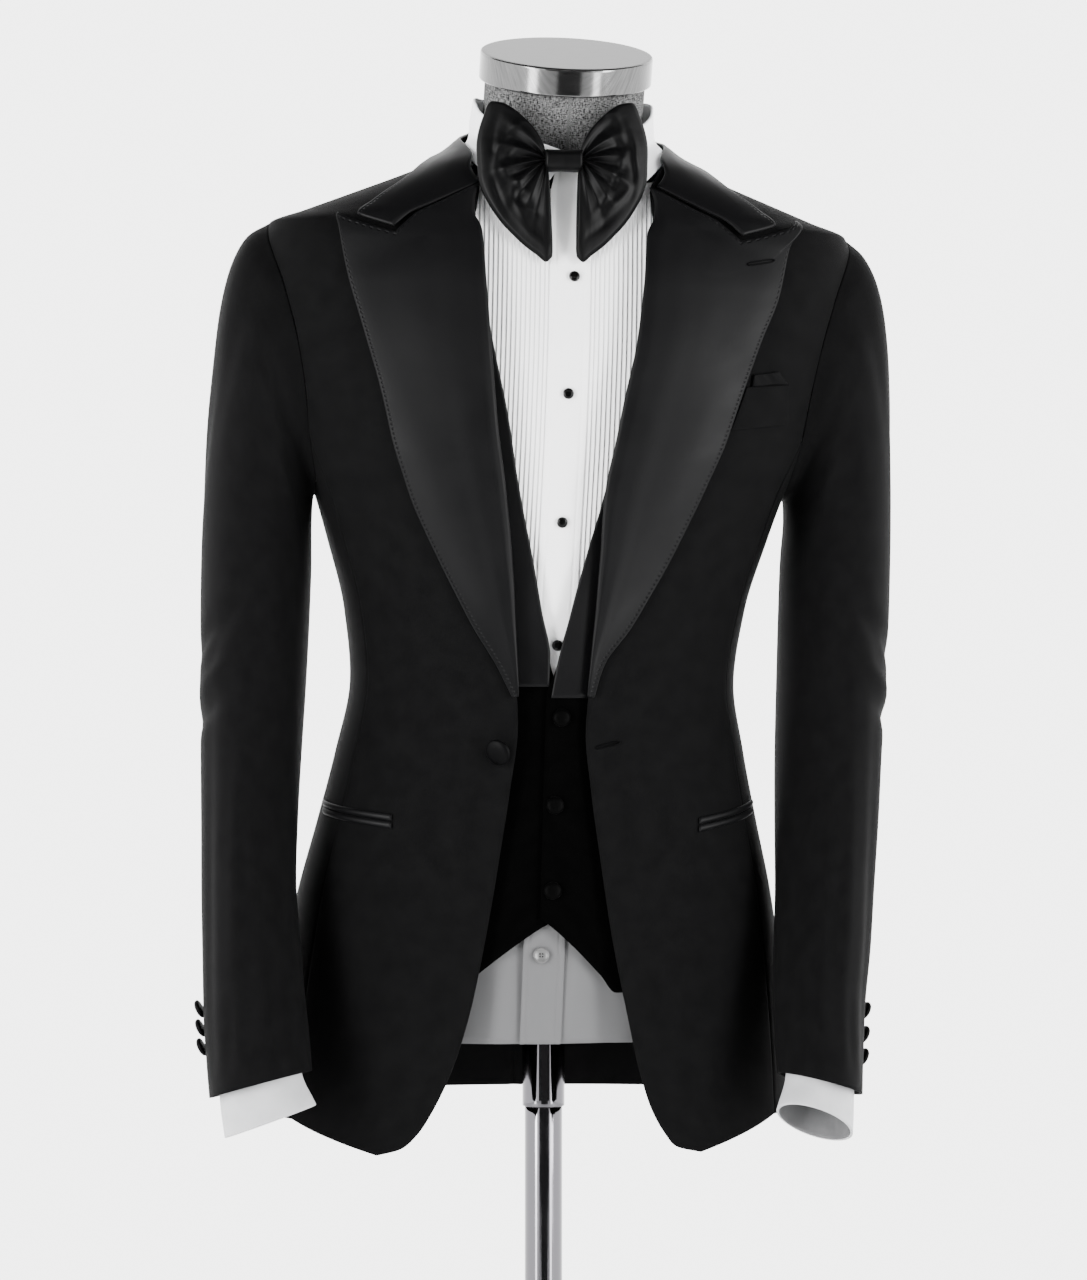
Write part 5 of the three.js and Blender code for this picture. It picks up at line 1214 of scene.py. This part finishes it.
# Folds of each wing: place along the fan, half width of the fold, height, and reach where it dies
WING_FOLDS = {
    "right": [[0.10, 0.035, 2.0, 0.9], [0.19, 0.04, -2.6, 0.8], [0.28, 0.035, 2.4, 0.95],
              [0.38, 0.035, -2.6, 0.75], [0.47, 0.03, 2.6, 0.9], [0.56, 0.035, -2.6, 0.8],
              [0.64, 0.03, 2.2, 0.7], [0.73, 0.035, -2.6, 0.95], [0.82, 0.035, 2.2, 0.85],
              [0.91, 0.03, -2.0, 0.95]],
    "left": [[0.09, 0.035, -2.0, 0.9], [0.18, 0.035, 2.4, 0.85], [0.27, 0.035, -2.6, 0.9],
             [0.36, 0.03, 2.4, 0.7], [0.45, 0.035, -2.6, 0.85], [0.55, 0.035, 2.6, 0.95],
             [0.65, 0.03, -2.4, 0.75], [0.74, 0.035, 2.2, 0.9], [0.84, 0.035, -2.4, 0.95],
             [0.92, 0.025, 1.6, 0.8]],
}
# Crumples lying across them: place along the fan, reach, tilt, length, half width, height
WING_CRUMPLES = {
    "right": [[0.15, 0.62, 0.5, 0.14, 0.05, 1.8], [0.24, 0.8, -0.3, 0.16, 0.05, -1.6],
              [0.33, 0.55, 0.9, 0.12, 0.045, -1.8], [0.4, 0.75, 0.2, 0.15, 0.05, 1.8],
              [0.5, 0.62, -0.6, 0.12, 0.05, 1.6], [0.6, 0.82, 0.4, 0.15, 0.05, -1.8],
              [0.66, 0.5, -0.2, 0.12, 0.05, 1.6], [0.76, 0.7, 0.7, 0.14, 0.05, 1.6],
              [0.86, 0.6, -0.4, 0.1, 0.05, -1.4], [0.9, 0.85, 0.3, 0.1, 0.05, 1.4]],
    "left": [[0.12, 0.7, -0.4, 0.14, 0.05, 1.6], [0.22, 0.55, 0.6, 0.13, 0.05, -1.8],
             [0.3, 0.82, 0.1, 0.16, 0.05, 1.8], [0.42, 0.6, -0.7, 0.13, 0.045, 1.8],
             [0.5, 0.8, 0.5, 0.14, 0.05, -1.6], [0.58, 0.55, 0.1, 0.12, 0.05, -1.6],
             [0.68, 0.75, -0.5, 0.15, 0.05, 1.8], [0.78, 0.58, 0.3, 0.12, 0.05, 1.6],
             [0.85, 0.8, -0.2, 0.12, 0.05, -1.6]],
}
FOLD_DEPTH, CRUMPLE_DEPTH = 0.75, 0.6
for name, side in SIDES.items():
    hub = KNOT[0] + side * (KNOT[3] + 0.4)
    angle = np.linspace(127, 272.5, 170)
    share = (angle - 127) / 145.5
    reach = np.linspace(0.07, 1, 110)
    size = smooth(WING_ROWS, reach)
    turn = np.radians(angle[None, :] - size[:, 1:2] * (1 - share) ** 1.5)
    far = reach[:, None] * smooth(WING_OUTLINE, angle)[:, 0]
    x = hub - side * far * np.cos(turn)
    z = KNOT[2] + far * np.sin(turn)
    folds = np.zeros_like(x)
    for place, width, height, dies in WING_FOLDS[name]:
        folds += (FOLD_DEPTH * height * np.exp(-((share - place) / width) ** 2)
                  * (1 - ramp(reach[:, None], dies - 0.45, dies)) * ramp(reach[:, None], 0, 0.14))
    for place, out, tilt, length, width, height in WING_CRUMPLES[name]:
        along = (share - place) * np.cos(tilt) + (reach[:, None] - out) * np.sin(tilt)
        across = (reach[:, None] - out) * np.cos(tilt) - (share - place) * np.sin(tilt)
        folds += (CRUMPLE_DEPTH * height * np.exp(-(across / width) ** 2 - (along / length) ** 2)
                  * ramp(reach[:, None], 0.1, 0.3) * (1 - ramp(reach[:, None], 0.93, 1)))
    base = -80.1 - 0.13 * (KNOT[2] - z) + 0.1 * np.abs(x - hub)
    half = size[:, :1]
    face = np.stack([x, base - half - folds, z], -1)
    back = np.stack([x, base + half + 0 * folds, z], -1)
    inside = np.array([-side * 5.0, 0, 0])
    face, back = (np.concatenate([grid[:1] + inside, grid]) for grid in (face, back))
    shell(f"bow_wing_{name}_cloth", face, back, "bow_satin", [f"bow_wing_{name}"])

turn = np.linspace(0, 2 * np.pi, 72, endpoint=False)
along = np.linspace(-1, 1, 40)
out = np.abs(along)
swell = np.where(out > 0.9, 1 - 1.5 * (out - 0.9), 1 - 0.06 * (1 - out))
c, s = np.cos(turn), np.sin(turn)
ripple = 1 + 0.02 * np.sin(turn * 5)[None, :] * np.cos(along * 2)[:, None]
rings = np.stack([
    KNOT[0] + along[:, None] * KNOT_SHOWN + 0 * c,
    KNOT[1] + KNOT[4] * (swell[:, None] * np.sign(c) * np.abs(c) ** 0.7) * ripple,
    KNOT[2] + KNOT[5] * (swell[:, None] * np.sign(s) * np.abs(s) ** 0.7) * ripple], -1)
solid("bow_knot_cloth", rings, "bow_satin", ["bow_knot"])
print("bow made")

# %% [markdown]
# The torso is smooth and limbless: level sections up to the shoulders, then a blend into the
# ring of the neck. The cap is a shallow steel drum with broken edges, the stand turned metal.

# %% Torso, cap and stand
angle = np.linspace(0, 360, 160, endpoint=False)
levels = np.array([893, 984, 1091, 1145, 1199, 1290, 1382, 1440, 1475, 1490, 1500, 1512, 1524,
                   1536, 1545])
share = [0, 0, 0, 0, 0, 0, 0, 0, 0, 0, 0.12, 0.3, 0.52, 0.75, 0.93]
neck = [-30, -30, -30, -30, -30, -30, -30, -30, -30, -30, -30, -20, -10, 0, 10]
table = np.c_[np.arange(15), levels, share, neck]
read = smooth(table, np.linspace(0, 14, 130))
body = torso.at(angle[None, :], np.repeat(read[:, :1], len(angle), 1), -9.0)
column = neck_point(angle[None, :], read[:, 2:3] + 0 * angle[None, :], 61.5)
rings = body + (column - body) * read[:, 1][:, None, None]
tall = neck_point(angle[None, :], np.linspace(12, 66.7, 30)[:, None], 61.5)
solid("form_torso_cloth", np.concatenate([rings, tall]), "linen", ["form_torso"])
cap = [[64.5, 0], [65.3, 0.1], [65.9, 0.4], [66.2, 1], [66.2, 1.8], [66.2, 19.2], [66.2, 20],
       [65.9, 20.8], [65.3, 21.3], [64.5, 21.6], [62.5, 21.6], [60, 21.6]]
rings = np.stack([neck_point(angle, 67 + height, radius) for radius, height in cap])
solid("neck_cap_metal", rings, "steel", ["neck_cap"])
turned("stand_base_metal", [0, 0, 0], [0, 0, 1], [[158.5, 0], [159.6, 0.5], [160, 1.5], [160, 9],
       [159.6, 10], [158.5, 10.5], [26, 10.6], [25.4, 10.8], [24.6, 13], [24, 23], [23.4, 24]],
       "chrome", ["stand_base"], 160)
turned("stand_pole_metal", [0, 0, 0], [0, 0, 1], [[14.3, 24.3], [14.5, 24.8],
       [14.5, 30], [14.5, 812], [14.5, 817.3], [14.3, 817.7]], "chrome",
       ["stand_pole"], 96)
turned("stand_sleeve_tube_metal", [0, 0, 0], [0, 0, 1], [[15.6, 818], [16.1, 818.2], [16.3, 818.8],
       [16.3, 824], [16.3, 888], [16.3, 892.2], [16.1, 892.7]], "chrome", ["stand_sleeve_tube"], 96)
print("form and stand made")

# %% [markdown]
# Light: a tall soft box on each side in front, a small low one on each side for the cap's rim and
# the sleeves, and a white surround. Photographers set black cards where polished metal and satin
# would mirror too much white; here one stands behind the camera, one low in front and one hangs
# overhead. They only shade and are mirrored, and no camera sees them.

# %% Light and surroundings
def soft_box(name, place, size, power, aim=(0, 0, 1.25)):
    """An area light that looks at the suit."""
    lamp = bpy.data.lights.new(name, "AREA")
    lamp.shape = "RECTANGLE"
    lamp.size, lamp.size_y = size
    lamp.energy = power
    thing = bpy.data.objects.new(name, lamp)
    bpy.context.scene.collection.objects.link(thing)
    thing.location = place
    away = np.array(place) - np.array(aim)
    flat = np.hypot(away[0], away[1])
    thing.rotation_euler = (np.arctan2(flat, away[2]), 0, np.arctan2(away[0], -away[1]))


TALL, SMALL = (0.7, 2.2), (0.3, 0.6)
NECK = (0, 0, 1.6)
soft_box("soft_left", (-2.4, -1.9, 1.5), TALL, 145)
soft_box("soft_right", (2.4, -2.0, 1.5), TALL, 135)
soft_box("low_left", (-1.4, -1.13, 0.6), SMALL, 10, NECK)
soft_box("low_right", (1.16, -1.38, 0.6), SMALL, 10, NECK)
WORLD_STRENGTH = 4.8
world = bpy.data.worlds.new("pale")
bpy.context.scene.world = world
world.use_nodes = True
world.node_tree.nodes["Background"].inputs[0].default_value = (1, 1, 1, 1)
world.node_tree.nodes["Background"].inputs[1].default_value = WORLD_STRENGTH


def card(name, corners, colour, seen=False):
    """A flat matt card of four corners, not part of the object; one not seen only shades."""
    mesh = bpy.data.meshes.new(name)
    mesh.from_pydata(corners, [], [[0, 1, 2, 3]])
    material = bpy.data.materials.new(name)
    material.use_nodes = True
    principled = material.node_tree.nodes["Principled BSDF"]
    principled.inputs["Base Color"].default_value = (*colour, 1)
    principled.inputs["Roughness"].default_value = 0.9
    mesh.materials.append(material)
    thing = bpy.data.objects.new(name, mesh)
    thing.visible_camera = seen
    bpy.context.scene.collection.objects.link(thing)


card("floor", [(-3.4, -4.5, -0.001), (3.4, -4.5, -0.001), (3.4, 3.6, -0.001), (-3.4, 3.6, -0.001)],
     (0.8, 0.8, 0.8), True)
card("dark_card", [(-2.8, -4.6, 0.02), (2.5, -4.6, 0.02), (2.5, -4.6, 3.2), (-2.8, -4.6, 3.2)],
     (0.02, 0.02, 0.02))
card("dark_ceiling", [(-2.4, -3.6, 3.2), (2.4, -3.6, 3.2), (2.4, 1.2, 3.2), (-2.4, 1.2, 3.2)],
     (0.03, 0.03, 0.03))
card("flag", [(-0.7, -2.2, 0.1), (0.7, -2.2, 0.1), (0.7, -2.2, 0.75), (-0.7, -2.2, 0.75)],
     (0.02, 0.02, 0.02))
